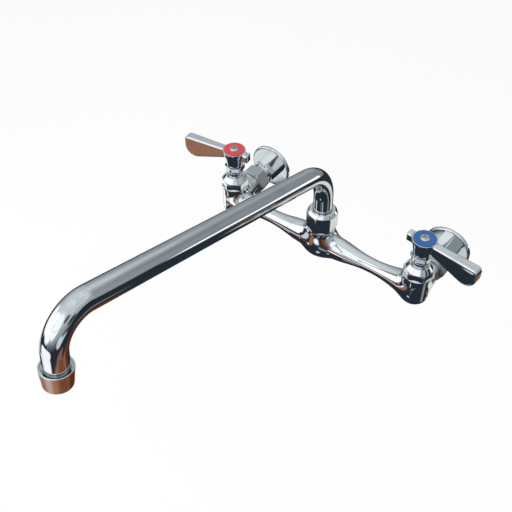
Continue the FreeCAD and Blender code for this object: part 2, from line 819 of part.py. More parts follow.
def make_cartridge_body(side):
    """The brass cartridge sleeve with its neck, ring and hexagonal head."""
    body = add_body(f"cartridge_body_{side}", stem_place(side))
    sleeve = D.chamber_bore_radius - D.cartridge_clearance
    shoulder = D.chamber_mouth_radius - D.cartridge_clearance
    groove_floor = sleeve - D.cartridge_seal_groove_depth
    groove_low = MOUTH_Z - D.cartridge_seal_drop
    groove_high = groove_low + D.cartridge_seal_groove_width
    bore = D.stem_radius + D.stem_clearance
    roof = FOOT_TOP + D.stem_clearance
    places = [
        (D.cartridge_bore_radius, SEAT_Z),
        (sleeve, SEAT_Z),
        (sleeve, groove_low),
        (groove_floor, groove_low),
        (groove_floor, groove_high),
        (sleeve, groove_high),
        (sleeve, MOUTH_Z),
        (shoulder, MOUTH_Z),
        (shoulder, SHOULDER_TOP),
        (D.cartridge_neck_radius, SHOULDER_TOP),
        (D.cartridge_neck_radius, D.cartridge_ring_bottom),
        (D.cartridge_ring_radius, D.cartridge_ring_bottom),
        (D.cartridge_ring_radius, RING_TOP),
        (bore, RING_TOP),
        (bore, roof),
        (D.cartridge_bore_radius, roof),
    ]
    turned(body, f"cartridge_side_{side}", places)
    half = D.cartridge_window_width * 0.5
    low = SEAL_TOP
    high = low + D.cartridge_window_height
    window = [(-half, low), (half, low), (half, high), (-half, high)]
    sketch = add_outline(body, f"cartridge_window_{side}", "YZ_Plane", window)
    cut_through(body, sketch)
    flats = D.cartridge_head_flats
    top = D.cartridge_head_top
    turn = {"hot": D.hot_cartridge_turn, "cold": D.cold_cartridge_turn}[side]
    hex_block(body, f"cartridge_head_{side}", flats, top - RING_TOP, RING_TOP, turn)
    radius = D.cartridge_head_bevel_radius
    break_corners(body, f"cartridge_bevel_{side}", flats, radius, top, D.cartridge_head_bevel_drop)
    bored(body, f"cartridge_head_bore_{side}", ring_profile(ZERO, bore, RING_TOP, top))
    return body


def make_cartridge_seal(side):
    """The ring that seals the cartridge sleeve in its chamber."""
    sleeve = D.chamber_bore_radius - D.cartridge_clearance
    inner = sleeve - D.cartridge_seal_groove_depth + D.seal_squeeze_gap
    outer = D.chamber_bore_radius - D.seal_squeeze_gap
    level = MOUTH_Z - D.cartridge_seal_drop + D.cartridge_seal_groove_width * 0.5
    section = (outer - inner) * 0.5
    middle = (outer + inner) * 0.5
    return o_ring(f"cartridge_seal_{side}", stem_place(side), None, middle, section, [level])


def make_seat_seal(side):
    """The rubber seal between the chamber's seat and the fixed disc."""
    body = add_body(f"seat_seal_{side}", stem_place(side))
    outline = ring_profile(D.seat_seal_hole, D.seat_seal_radius, SEAT_Z, SEAL_TOP)
    turned(body, f"seat_seal_side_{side}", outline)
    return body


def shape_ceramic_disc(body, label, side, bottom, ports_across):
    """Shapes a ceramic disc with two ports, on its X when across and else on its Y."""
    top = bottom + D.ceramic_thickness
    outline = ring_profile(ZERO, D.ceramic_radius, bottom, top)
    turned(body, f"{label}_side_{side}", outline)
    sketch = add_sketch(body, f"{label}_ports_{side}", "XY_Plane", (ZERO, ZERO, bottom))
    for reach in (D.ceramic_port_offset, -D.ceramic_port_offset):
        center = (reach, ZERO) if ports_across else (ZERO, reach)
        add_circle(sketch, center, D.ceramic_port_radius)
    cut_through(body, sketch)


def make_fixed_disc(side):
    """The ceramic disc that stays still in the cartridge."""
    body = add_body(f"fixed_disc_{side}", stem_place(side))
    shape_ceramic_disc(body, "fixed_disc", side, SEAL_TOP, True)
    return body


def make_moving_disc(side):
    """The ceramic disc that the stem turns, with a slot for the stem's key."""
    body = add_turning_body("moving_disc", side)
    shape_ceramic_disc(body, "moving_disc", side, FIXED_TOP, False)
    half = D.drive_key_width * 0.5 + D.key_clearance
    reach = D.drive_key_length * 0.5 + D.key_clearance
    slot = [(-reach, -half), (reach, -half), (reach, half), (-reach, half)]
    depth = D.drive_key_height + D.key_clearance
    sketch = add_outline(body, f"key_slot_{side}", "XY_Plane", slot, None, (ZERO, ZERO, MOVING_TOP))
    cut_through(body, sketch, depth * 2)
    return body


def make_valve_stem(side):
    """The turning stem: key, foot, seal groove, squared top and tapped hole."""
    body = add_turning_body("valve_stem", side)
    groove_floor = D.stem_radius - D.stem_groove_depth
    groove_top = D.stem_groove_height + D.stem_groove_width
    places = [
        (ZERO, MOVING_TOP),
        (D.stem_foot_radius, MOVING_TOP),
        (D.stem_foot_radius, FOOT_TOP),
        (D.stem_radius, FOOT_TOP),
        (D.stem_radius, D.stem_groove_height),
        (groove_floor, D.stem_groove_height),
        (groove_floor, groove_top),
        (D.stem_radius, groove_top),
        (D.stem_radius, D.hub_bottom),
        (ZERO, D.hub_bottom),
    ]
    turned(body, f"stem_side_{side}", places)
    half = D.stem_square * 0.5
    square = [(-half, -half), (half, -half), (half, half), (-half, half)]
    low = (ZERO, ZERO, D.hub_bottom)
    sketch = add_outline(body, f"stem_square_{side}", "XY_Plane", square, None, low)
    pad(body, sketch, D.stem_square_length)
    half = D.drive_key_width * 0.5
    reach = D.drive_key_length * 0.5
    key = [(-reach, -half), (reach, -half), (reach, half), (-reach, half)]
    low = (ZERO, ZERO, MOVING_TOP - D.drive_key_height)
    sketch = add_outline(body, f"stem_key_{side}", "XY_Plane", key, None, low)
    pad(body, sketch, D.drive_key_height)
    floor = STEM_TOP - D.stem_tap_depth
    bored(body, f"stem_tap_{side}", ring_profile(ZERO, D.stem_tap_radius, floor, STEM_TOP))
    return body


def make_stem_seal(side):
    """The ring that seals the stem in the cartridge neck."""
    inner = D.stem_radius - D.stem_groove_depth + D.seal_squeeze_gap
    outer = D.stem_radius + D.stem_clearance * 0.5
    level = D.stem_groove_height + D.stem_groove_width * 0.5
    section = (outer - inner) * 0.5
    middle = (outer + inner) * 0.5
    return o_ring(f"stem_seal_{side}", stem_place(side), None, middle, section, [level])


def lever_outline():
    """The lever's side: short stub, shallow root and deep rounded blade."""
    reach = D.lever_length
    radius = D.lever_tip_radius
    top = D.lever_top
    center = reach - radius
    slope = sine(D.lever_under_angle) / cosine(D.lever_under_angle)
    root_level = top - D.lever_root_depth
    fall = slope * (center - D.lever_root_from_stem)
    center_level = root_level - fall + radius / cosine(D.lever_under_angle)
    touch = center - radius * sine(D.lever_under_angle)
    touch_level = center_level - radius * cosine(D.lever_under_angle)
    corner = D.lever_tip_corner
    stub_level = top - D.stub_depth
    places = [
        (-D.stub_length, stub_level),
        (ZERO, stub_level),
        (D.lever_root_from_stem, root_level),
        (touch, touch_level),
        (reach, center_level),
        (reach, top - corner),
        (reach - corner, top),
        (-D.stub_length, top),
    ]
    return places, {3: (radius, 1), 5: (corner, 1)}


def make_lever(side):
    """The lever handle: paddle blade, stub, trumpet hub and square socket."""
    body = add_turning_body("lever", side)
    places, arcs = lever_outline()
    sketch = add_outline(body, f"lever_side_{side}", "XZ_Plane", places, arcs)
    pad(body, sketch, D.lever_tip_thickness, True)
    near = D.lever_thickness * 0.5
    far = D.lever_tip_thickness * 0.5
    start = -D.lever_length
    end = D.lever_length - D.lever_tip_corner
    outside = D.lever_tip_thickness
    for name, sign in (("left", 1), ("right", -1)):
        wedge = [
            (start, near * sign),
            (D.lever_root_from_stem, near * sign),
            (end, far * sign),
            (end, outside * sign),
            (start, outside * sign),
        ]
        sketch = add_outline(body, f"lever_taper_{name}_{side}", "XY_Plane", wedge)
        cut_through(body, sketch)
    places = [
        (ZERO, D.hub_bottom),
        (D.hub_foot_radius, D.hub_bottom),
        (D.hub_neck_radius, D.hub_bottom + D.hub_neck_height),
        (D.hub_rim_radius, HUB_TOP - D.hub_rim_height),
        (D.hub_rim_radius, HUB_TOP),
        (ZERO, HUB_TOP),
    ]
    turned(body, f"hub_side_{side}", places)
    recess = D.disc_radius + D.screw_clearance
    shank = D.screw_shank_radius + D.screw_clearance
    places = [
        (ZERO, D.hub_bottom),
        (shank, D.hub_bottom),
        (shank, DISC_BOTTOM),
        (recess, DISC_BOTTOM),
        (recess, HUB_TOP),
        (ZERO, HUB_TOP),
    ]
    bored(body, f"hub_bore_{side}", places)
    half = D.stem_square * 0.5 + D.stem_square_clearance
    square = [(-half, -half), (half, -half), (half, half), (-half, half)]
    low = (ZERO, ZERO, D.hub_bottom)
    sketch = add_outline(body, f"hub_square_{side}", "XY_Plane", square, None, low)
    cut_through(body, sketch, (D.stem_square_length + D.stem_square_clearance) * 2)
    return body


def make_index_disc(side):
    """The coloured index disc on top of the hub."""
    body = add_body(f"index_disc_{side}", stem_place(side))
    edge = D.disc_edge_chamfer
    hole = D.screw_shank_radius + D.screw_clearance
    places = [
        (hole, DISC_BOTTOM),
        (D.disc_radius, DISC_BOTTOM),
        (D.disc_radius, DISC_TOP - edge),
        (D.disc_radius - edge, DISC_TOP),
        (hole, DISC_TOP),
    ]
    turned(body, f"index_disc_side_{side}", places)
    return body


def make_handle_screw(side):
    """The cross-recessed screw that holds the lever on its stem."""
    body = add_body(f"handle_screw_{side}", stem_place(side))
    top = DISC_TOP + D.screw_head_height
    land = DISC_TOP + D.screw_head_land
    crown = D.screw_head_radius - D.screw_head_height
    places = [
        (ZERO, DISC_TOP - D.screw_length),
        (D.screw_shank_radius, DISC_TOP - D.screw_length),
        (D.screw_shank_radius, DISC_TOP),
        (D.screw_head_radius, DISC_TOP),
        (D.screw_head_radius, land),
        (crown, top),
        (ZERO, top),
    ]
    turned(body, f"screw_side_{side}", places)
    reach = D.screw_slot_length * 0.5
    half = D.screw_slot_width * 0.5
    slots = {"long": (reach, half), "cross": (half, reach)}
    for name, (across, up) in slots.items():
        outline = [(-across, -up), (across, -up), (across, up), (-across, up)]
        level = (ZERO, ZERO, top)
        sketch = add_outline(body, f"screw_slot_{name}_{side}", "XY_Plane", outline, None, level)
        cut_through(body, sketch, D.screw_slot_depth * 2)
    return body


def spout_route():
    """The points of the spout's middle line: reach outward, height upward."""
    rise = D.spout_rise_angle
    lean = D.outlet_lean
    elbow = D.elbow_radius
    bend = D.outlet_bend_radius
    elbow_out = elbow - elbow * sine(rise)
    elbow_up = D.riser_top + elbow * cosine(rise)
    bend_out = bend * sine(rise) + bend * cosine(lean)
    drop_out = D.outlet_drop * sine(lean)
    straight = (D.spout_reach - elbow_out - bend_out - drop_out) / cosine(rise)
    bend_start = (elbow_out + straight * cosine(rise), elbow_up + straight * sine(rise))
    bend_fall = bend * sine(lean) - bend * cosine(rise)
    bend_end = (bend_start[0] + bend_out, bend_start[1] + bend_fall)
    end_level = bend_end[1] - D.outlet_drop * cosine(lean)
    places = [
        (ZERO, FERRULE_FLANGE_TOP),
        (ZERO, D.riser_top),
        (elbow_out, elbow_up),
        bend_start,
        bend_end,
        (D.spout_reach, end_level),
    ]
    return places, {1: (elbow, -1), 3: (bend, -1)}


SPOUT_PLACES, SPOUT_ARCS = spout_route()
OUTLET_PLACE = (ZERO, STEM_Y - D.spout_reach, SPOUT_PLACES[-1][1])


def make_spout_tube():
    """The bent spout tube, from the swivel to the outlet."""
    body = add_body("spout_tube", (ZERO, STEM_Y, ZERO), SPOUT_TURN)
    section = add_sketch(body, "tube_section", "XY_Plane", (ZERO, ZERO, FERRULE_FLANGE_TOP))
    add_circle(section, (ZERO, ZERO), D.tube_radius)
    add_circle(section, (ZERO, ZERO), D.tube_radius - D.tube_wall)
    route = add_sketch(body, "tube_route", "YZ_Plane")
    draw_run(route, SPOUT_PLACES, SPOUT_ARCS, False)
    DOC.recompute()
    pipe = body.newObject("PartDesign::AdditivePipe", "tube_sweep")
    pipe.Profile = section
    pipe.Spine = (route, [f"Edge{number}" for number in range(1, len(SPOUT_PLACES))])
    DOC.recompute()
    return body


def make_spout_ferrule():
    """The brass plug that turns in the body's socket and carries the tube."""
    body = add_body("spout_ferrule", (ZERO, STEM_Y, ZERO), SPOUT_TURN)
    foot = D.socket_floor + D.ferrule_foot_gap
    plug = D.socket_radius - D.ferrule_clearance
    floor = plug - D.ferrule_groove_depth
    flange_bottom = FERRULE_FLANGE_TOP - D.ferrule_flange_thickness
    spigot = D.tube_radius - D.tube_wall - D.braze_gap
    spigot_top = FERRULE_FLANGE_TOP + D.ferrule_spigot_length
    places = [(D.ferrule_bore_radius, foot), (plug, foot)]
    for start in (D.ferrule_groove_first, D.ferrule_groove_second):
        low = foot + start
        high = low + D.ferrule_groove_width
        places += [(plug, low), (floor, low), (floor, high), (plug, high)]
    places += [
        (plug, flange_bottom),
        (D.ferrule_flange_radius, flange_bottom),
        (D.ferrule_flange_radius, FERRULE_FLANGE_TOP),
        (spigot, FERRULE_FLANGE_TOP),
        (spigot, spigot_top),
        (D.ferrule_bore_radius, spigot_top),
    ]
    turned(body, "ferrule_side", places)
    return body


def make_spout_seals():
    """The two rings that seal the ferrule in the body's socket."""
    foot = D.socket_floor + D.ferrule_foot_gap
    plug = D.socket_radius - D.ferrule_clearance
    inner = plug - D.ferrule_groove_depth + D.seal_squeeze_gap
    outer = D.socket_radius - D.ferrule_clearance * 0.5
    half = D.ferrule_groove_width * 0.5
    levels = [foot + D.ferrule_groove_first + half, foot + D.ferrule_groove_second + half]
    place = (ZERO, STEM_Y, ZERO)
    section = (outer - inner) * 0.5
    middle = (outer + inner) * 0.5
    return o_ring("spout_seals", place, SPOUT_TURN, middle, section, levels)


def make_swivel_washer():
    """The nylon bearing washer on the ferrule's flange."""
    body = add_body("swivel_washer", (ZERO, STEM_Y, ZERO), SPOUT_TURN)
    hole = D.tube_radius + D.ferrule_clearance
    outline = ring_profile(hole, D.ferrule_flange_radius, FERRULE_FLANGE_TOP, WASHER_TOP)
    turned(body, "swivel_washer_side", outline)
    return body


def make_swivel_nut():
    """The hexagonal nut that holds the spout down on the boss."""
    body = add_body("swivel_nut", (ZERO, STEM_Y, ZERO))
    flats = D.swivel_nut_flats
    foot_top = D.boss_shoulder + D.swivel_nut_foot
    height = D.swivel_nut_height - D.swivel_nut_foot
    hex_block(body, "swivel_hexagon", flats, height, foot_top, D.swivel_nut_turn)
    radius = D.swivel_nut_top_radius
    break_corners(body, "swivel_bevel", flats, radius, SWIVEL_NUT_TOP, D.swivel_nut_chamfer)
    foot = ring_profile(ZERO, D.swivel_nut_foot_radius, D.boss_shoulder, foot_top)
    turned(body, "swivel_foot", foot)
    bore = D.boss_thread_radius + D.thread_clearance
    hole = D.tube_radius + D.swivel_gap
    lip = WASHER_TOP + D.swivel_gap
    land = SWIVEL_NUT_TOP - D.swivel_nut_land
    floor = SWIVEL_NUT_TOP - D.swivel_nut_groove_depth
    places = [
        (ZERO, D.boss_shoulder),
        (bore, D.boss_shoulder),
        (bore, lip),
        (hole, lip),
        (hole, land),
        (D.swivel_nut_groove_inner, land),
        (D.swivel_nut_groove_inner, floor),
        (D.swivel_nut_groove_outer, floor),
        (D.swivel_nut_groove_outer, SWIVEL_NUT_TOP),
        (ZERO, SWIVEL_NUT_TOP),
    ]
    bored(body, "swivel_bore", places)
    return body


# Stations below the tube's end, along the outlet
HOUSING_TOP = -D.aerator_overlap
HOUSING_BOTTOM = D.aerator_height - D.aerator_overlap
LIP_TOP = HOUSING_BOTTOM - D.aerator_lip_height
SCREEN_TOP = LIP_TOP - D.aerator_screen_thickness
OUTLET_WASHER_BOTTOM = D.outlet_sleeve_length + D.aerator_washer_thickness
OUTLET_BORE = D.outlet_sleeve_radius + D.aerator_clearance


def outlet_body(label):
    """Starts a piece whose upright axis runs down the outlet."""
    angle = HALF_TURN - D.outlet_lean
    return add_body(label, OUTLET_PLACE, Rotation(ACROSS, angle.value), angle)


def make_outlet_sleeve():
    """The threaded sleeve brazed into the end of the tube."""
    body = outlet_body("outlet_sleeve")
    spigot = D.tube_radius - D.tube_wall - D.braze_gap
    places = [
        (D.outlet_sleeve_bore, -D.outlet_sleeve_overlap),
        (spigot, -D.outlet_sleeve_overlap),
        (spigot, ZERO),
        (D.outlet_sleeve_radius, ZERO),
        (D.outlet_sleeve_radius, D.outlet_sleeve_length),
        (D.outlet_sleeve_bore, D.outlet_sleeve_length),
    ]
    turned(body, "outlet_sleeve_side", places)
    return body


def make_aerator_housing():
    """The screwed collar round the outlet, open at the top round the tube."""
    body = outlet_body("aerator_housing")
    recess_floor = HOUSING_TOP + D.aerator_recess
    places = [
        (D.aerator_lip_radius, HOUSING_BOTTOM),
        (D.aerator_lip_radius, LIP_TOP),
        (OUTLET_BORE, LIP_TOP),
        (OUTLET_BORE, recess_floor),
        (D.aerator_recess_radius, recess_floor),
        (D.aerator_recess_radius, HOUSING_TOP),
        (D.aerator_top_radius, HOUSING_TOP),
        (D.aerator_bottom_radius, HOUSING_BOTTOM),
    ]
    turned(body, "aerator_housing_side", places)
    return body


def make_aerator_washer():
    """The rubber washer under the outlet sleeve."""
    body = outlet_body("aerator_washer")
    outline = ring_profile(
        D.aerator_washer_hole, D.outlet_sleeve_radius, D.outlet_sleeve_length, OUTLET_WASHER_BOTTOM
    )
    turned(body, "aerator_washer_side", outline)
    return body


def make_aerator_insert():
    """The plastic flow insert with its ring of holes."""
    body = outlet_body("aerator_insert")
    outline = ring_profile(ZERO, D.outlet_sleeve_radius, OUTLET_WASHER_BOTTOM, SCREEN_TOP)
    turned(body, "aerator_insert_side", outline)
    sketch = add_sketch(body, "aerator_insert_hole", "XY_Plane")
    add_circle(sketch, (D.aerator_hole_circle, ZERO), D.aerator_hole_radius)
    hole = cut_through(body, sketch)
    ring = body.newObject("PartDesign::PolarPattern", "aerator_insert_holes")
    ring.Originals = [hole]
    ring.Axis = (sketch, ["N_Axis"])
    ring.Angle = FULL_TURN
    ring.setExpression("Occurrences", D.aerator_hole_count.text)
    body.Tip = ring
    DOC.recompute()
    return body


def make_aerator_screen():
    """The perforated screen that rests on the housing's lip."""
    body = outlet_body("aerator_screen")
    outline = ring_profile(ZERO, D.outlet_sleeve_radius, SCREEN_TOP, LIP_TOP)
    turned(body, "aerator_screen_side", outline)
    sketch = add_sketch(body, "screen_holes", "XY_Plane")
    pitch = D.aerator_screen_pitch
    limit = D.aerator_lip_radius.value - D.aerator_screen_hole.value
    count = int(limit / pitch.value)
    for column in range(-count, count + 1):
        for row in range(-count, count + 1):
            if math.hypot(column, row) * pitch.value > limit:
                continue
            across = pitch * column if column else ZERO
            up = pitch * row if row else ZERO
            add_circle(sketch, (across, up), D.aerator_screen_hole)
    cut_through(body, sketch)
    return body


SIDE_PIECES = (
    make_inlet_flange,
    make_union_nut,
    make_union_washer,
    make_bonnet_nut,
    make_cartridge_body,
    make_cartridge_seal,
    make_seat_seal,
    make_fixed_disc,
    make_moving_disc,
    make_valve_stem,
    make_stem_seal,
    make_lever,
    make_index_disc,
    make_handle_screw,
)
SINGLE_PIECES = (
    make_mixer_body,
    make_spout_tube,
    make_spout_ferrule,
    make_spout_seals,
    make_swivel_washer,
    make_swivel_nut,
    make_outlet_sleeve,
    make_aerator_housing,
    make_aerator_washer,
    make_aerator_insert,
    make_aerator_screen,
)


def make_all():
    """Makes every piece and returns them in order."""
    pieces = [make() for make in SINGLE_PIECES]
    pieces += [make(side) for make in SIDE_PIECES for side in SIDES]
    DOC.recompute()
    return pieces


def check_document(pieces):
    """Stops if any feature failed or any piece is not a sound solid."""
    for thing in DOC.Objects:
        states = [state for state in thing.State if state in ("Invalid", "Error")]
        if states:
            raise ValueError(f"{thing.Name} is {states[0]}")
    for piece in pieces:
        shape = piece.Shape
        if shape.isNull() or not shape.isValid() or not shape.Solids:
            raise ValueError(f"{piece.Label} is not a sound solid")


def write_parts(pieces):
    """Writes each piece to its own file."""
    os.makedirs("parts", exist_ok=True)
    for piece in pieces:
        piece.Shape.exportStep(f"parts/{piece.Label}.step")


PIECES = make_all()
check_document(PIECES)
write_parts(PIECES)
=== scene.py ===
"""Looks of a wall-mounted kitchen tap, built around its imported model.

Sizes are in millimetres and angles in degrees until a mesh or a lamp is made,
and MM turns them to metres. X runs from hot to cold, Y into the wall, Z up.
"""

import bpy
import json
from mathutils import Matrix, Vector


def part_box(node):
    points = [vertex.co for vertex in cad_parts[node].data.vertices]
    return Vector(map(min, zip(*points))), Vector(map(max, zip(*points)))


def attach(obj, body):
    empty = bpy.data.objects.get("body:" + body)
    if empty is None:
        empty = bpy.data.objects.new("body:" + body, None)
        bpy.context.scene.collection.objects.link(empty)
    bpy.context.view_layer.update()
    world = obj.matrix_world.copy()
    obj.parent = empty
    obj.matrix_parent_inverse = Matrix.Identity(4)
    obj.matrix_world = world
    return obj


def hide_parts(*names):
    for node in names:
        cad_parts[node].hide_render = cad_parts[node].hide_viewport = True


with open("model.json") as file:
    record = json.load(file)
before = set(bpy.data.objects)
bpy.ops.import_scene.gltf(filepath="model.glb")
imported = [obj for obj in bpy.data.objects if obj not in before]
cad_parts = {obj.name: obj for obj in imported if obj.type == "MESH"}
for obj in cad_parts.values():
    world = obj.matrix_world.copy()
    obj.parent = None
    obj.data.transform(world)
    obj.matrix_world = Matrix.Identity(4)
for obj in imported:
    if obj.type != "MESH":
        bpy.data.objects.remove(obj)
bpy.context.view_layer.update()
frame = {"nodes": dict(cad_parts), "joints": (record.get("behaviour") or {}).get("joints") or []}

import json
import logging
import math
from collections.abc import Callable, Sequence
from dataclasses import dataclass, field
from enum import Enum
from functools import partial
from typing import TypeVar

import bpy
import numpy as np
from mathutils import Matrix, Vector

LOG = logging.getLogger("tap")
MM = 0.001
# An edge of a turned piece stays sharp past this angle
CREASE = 32.0

Array = np.ndarray
Material = bpy.types.Material
Node = bpy.types.Node
NodeTree = bpy.types.NodeTree
Socket = bpy.types.NodeSocket

Choice = TypeVar("Choice")
Corner = tuple[float, float, float]
Feeds = dict[int | str, object]
Field = Callable[[Array], Array]


class Water(Enum):
    """The two supplies, valued as their nodes' names end."""

    HOT = "hot"
    COLD = "cold"

    def pick(self, hot: Choice, cold: Choice) -> Choice:
        """Returns this side's one of two values."""
        return hot if self is Water.HOT else cold


def linear(code: str) -> tuple[float, float, float, float]:
    """Turns an sRGB hex colour to linear light.

    Args:
        code: The colour, such as "#C8CCD0".

    Returns:
        Red, green, blue and an alpha of 1.
    """
    parts = [int(code[place : place + 2], 16) / 255 for place in (1, 3, 5)]
    light = [part / 12.92 if part <= 0.04045 else ((part + 0.055) / 1.055) ** 2.4 for part in parts]
    return (light[0], light[1], light[2], 1.0)


def feed(node: Node, inputs: Feeds) -> None:
    """Gives a node's inputs their values and links.

    Args:
        node: The node.
        inputs: For each input, by name or number, a value, a socket, or a node whose first output feeds it.
    """
    for key, value in inputs.items():
        if isinstance(value, Node):
            value = value.outputs[0]
        if isinstance(value, Socket):
            node.id_data.links.new(value, node.inputs[key])
        else:
            node.inputs[key].default_value = value


def add_node(tree: NodeTree, kind: str, inputs: Feeds | None = None, **settings: object) -> Node:
    """Adds a node with its settings, values and links.

    Args:
        tree: The tree that gets the node.
        kind: The node's type name.
        inputs: What feeds its inputs.
        settings: The node's own properties.

    Returns:
        The new node.
    """
    node = tree.nodes.new(kind)
    for name, value in settings.items():
        setattr(node, name, value)
    feed(node, inputs or {})
    return node


def new_material(name: str) -> Material:
    """Makes a material with nodes.

    Args:
        name: The material's name.

    Returns:
        The new material.
    """
    material = bpy.data.materials.new(name)
    material.use_nodes = True
    return material


def new_object(name: str, data: bpy.types.ID) -> bpy.types.Object:
    """Puts a new object in the scene.

    Args:
        name: The object's name.
        data: Its mesh, curve, camera or lamp.

    Returns:
        The new object.
    """
    added = bpy.data.objects.new(name, data)
    bpy.context.scene.collection.objects.link(added)
    return added


@dataclass
class Shell:
    """A closed surface: points in millimetres, faces by point number."""

    points: Array
    faces: list[tuple[int, ...]]
    normals: Array | None = None

    def placed(self, matrix: Matrix) -> "Shell":
        """Moves and turns the shell.

        Args:
            matrix: The move and the turn, in millimetres.

        Returns:
            The placed copy.
        """
        grid = np.array(matrix)
        points = self.points @ grid[:3, :3].T + grid[:3, 3]
        normals = None if self.normals is None else self.normals @ grid[:3, :3].T
        return Shell(points, self.faces, normals)


def round_corners(corners: Sequence[Corner], steps: int = 6) -> Array:
    """Turns each corner of a closed outline into an arc of its own radius.

    Args:
        corners: Across, up and radius of each corner.
        steps: How many pieces an arc has.

    Returns:
        The outline's points.
    """
    points: list[Array] = []
    for index, (across, up, radius) in enumerate(corners):
        here = np.array((across, up))
        if radius <= 0:
            points.append(here)
            continue
        before = np.array(corners[index - 1][:2]) - here
        after = np.array(corners[(index + 1) % len(corners)][:2]) - here
        # An arc takes up nine tenths of its shorter edge at most
        room = min(np.linalg.norm(before), np.linalg.norm(after)) * 0.9
        before = before / np.linalg.norm(before)
        after = after / np.linalg.norm(after)
        half = math.acos(float(np.clip(before @ after, -1, 1))) / 2
        reach = min(radius / math.tan(half), room)
        actual = reach * math.tan(half)
        middle = here + (before + after) / np.linalg.norm(before + after) * actual / math.sin(half)
        first = here + before * reach - middle
        last = here + after * reach - middle
        sweep = math.pi - 2 * half
        for step in range(steps + 1):
            part = step / steps
            blend = first * math.sin((1 - part) * sweep) + last * math.sin(part * sweep)
            points.append(middle + blend / math.sin(sweep))
    return np.array(points)


@dataclass(frozen=True)
class Hexagon:
    """The flats that trim a turned shape, with softened corners.

    The turn is the angle of the first corner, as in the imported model.
    """

    flats: float
    turn: float
    sharpness: float = 55.0
    softness: float = 0.35

    def past(self, margin: float) -> float:
        """Returns the radius that lies past the sharp corners by a margin."""
        return self.flats / math.sqrt(3) + margin

    def faces(self) -> list[float]:
        """Returns the angle that each flat faces."""
        return [60 * number + 30 + self.turn for number in range(6)]

    def angles(self) -> Array:
        """Returns the spin angles in radians, close together at the corners."""
        side = np.concatenate([np.linspace(-27, 27, 13), np.linspace(28, 32, 6)])
        return np.radians(np.concatenate([side + face for face in self.faces()]))

    def trim(self, radius: Array, angle: Array) -> Array:
        """Cuts a turned shape by the flats.

        Args:
            radius: The radius at each place.
            angle: The spin angle of each place.

        Returns:
            The radii that the flats leave.
        """
        total = np.zeros_like(angle)
        for face in self.faces():
            total += np.maximum(np.cos(angle - math.radians(face)), 0) ** self.sharpness
        flat = self.flats / 2 / total ** (1 / self.sharpness)
        gap = np.maximum(self.softness - np.abs(radius - flat), 0) / self.softness
        return np.minimum(radius, flat) - gap * gap * self.softness / 4


def held(outline: Array, hold: float = 0.12) -> Array:
    """Adds points near both ends of each long edge, so that shading keeps it straight.

    Args:
        outline: The closed outline's points.
        hold: How far the new points lie from the ends.

    Returns:
        The outline with the added points.
    """
    points = []
    for start, end in zip(outline, np.roll(outline, -1, axis=0)):
        points.append(start)
        run = np.linalg.norm(end - start)
        if run > 4 * hold:
            along = (end - start) / run * hold
            points += [start + along, end - along]
    return np.array(points)


def lathe(
    corners: Sequence[Corner],
    place: Matrix,
    steps: int = 6,
    segments: int = 128,
    hexagon: Hexagon | None = None,
) -> Shell:
    """Spins a closed outline round the upright axis and places it.

    Args:
        corners: Radius, height and rounding of each corner, running with the inside on the left.
        place: Where the shape stands and how it is turned.
        steps: How many pieces a rounding has.
        segments: How many steps the spin has, where no hexagon sets them.
        hexagon: Flats that trim the shape.

    Returns:
        The closed ring.
    """
    outline = held(round_corners(corners, steps))
    angles = hexagon.angles() if hexagon else np.linspace(0, 2 * math.pi, segments, endpoint=False)
    rows, around = len(outline), len(angles)
    radius = np.repeat(outline[:, :1], around, axis=1)
    angle = np.repeat(angles[None, :], rows, axis=0)
    if hexagon:
        radius = hexagon.trim(radius, angle)
    height = np.repeat(outline[:, 1:], around, axis=1)
    points = np.stack([radius * np.cos(angle), radius * np.sin(angle), height], axis=-1)
    faces: list[tuple[int, ...]] = []
    for row in range(rows):
        here, above = row * around, (row + 1) % rows * around
        for step in range(around):
            beside = (step + 1) % around
            faces.append((here + step, here + beside, above + beside, above + step))
    return Shell(points.reshape(-1, 3), faces).placed(place)


def outline_distance(outline: Array, across: Array, up: Array) -> Array:
    """Measures signed distance to a closed outline, negative inside.

    Args:
        outline: The outline's points.
        across: First coordinate of the places.
        up: Second coordinate of the places.

    Returns:
        One distance for each place.
    """
    nearest = np.full(across.shape, np.inf)
    sign = np.ones(across.shape)
    for start, end in zip(outline, np.roll(outline, -1, axis=0)):
        edge = end - start
        run = float(edge @ edge)
        if run == 0:
            continue
        out, rise = across - start[0], up - start[1]
        along = np.clip((out * edge[0] + rise * edge[1]) / run, 0, 1)
        nearest = np.minimum(nearest, (out - edge[0] * along) ** 2 + (rise - edge[1] * along) ** 2)
        above = up >= start[1]
        below = up < end[1]
        left = edge[0] * rise > edge[1] * out
        sign[(above & below & left) | (~above & ~below & ~left)] *= -1
    return sign * np.sqrt(nearest)


def turned_distance(side: Sequence[Corner], beside: Array, behind: Array, along: Array) -> Array:
    """Measures signed distance to a solid turned shape.

    Args:
        side: Radius, height and rounding of the outer side's corners, from the bottom to the top.
        beside: How far the places lie from the axis one way.
        behind: How far they lie from it the other way.
        along: How far they lie along it.

    Returns:
        One distance for each place.
    """
    past_axis = -6.0
    closed = [(past_axis, side[0][1], 0.0), *side, (past_axis, side[-1][1], 0.0)]
    return outline_distance(round_corners(closed), np.hypot(beside, behind), along)


def round_union(first: Array, second: Array, radius: float) -> Array:
    """Joins two fields.

    Args:
        first: The first field's distances.
        second: The second field's distances.
        radius: The radius of the fillet between them.

    Returns:
        The distances to both together.
    """
    near_first = np.maximum(radius - first, 0)
    near_second = np.maximum(radius - second, 0)
    return np.maximum(radius, np.minimum(first, second)) - np.hypot(near_first, near_second)


def smooth_step(low: float, high: float, value: Array) -> Array:
    """Rises gently from 0 at low to 1 at high."""
    part = np.clip((value - low) / (high - low), 0, 1)
    return part * part * (3 - 2 * part)


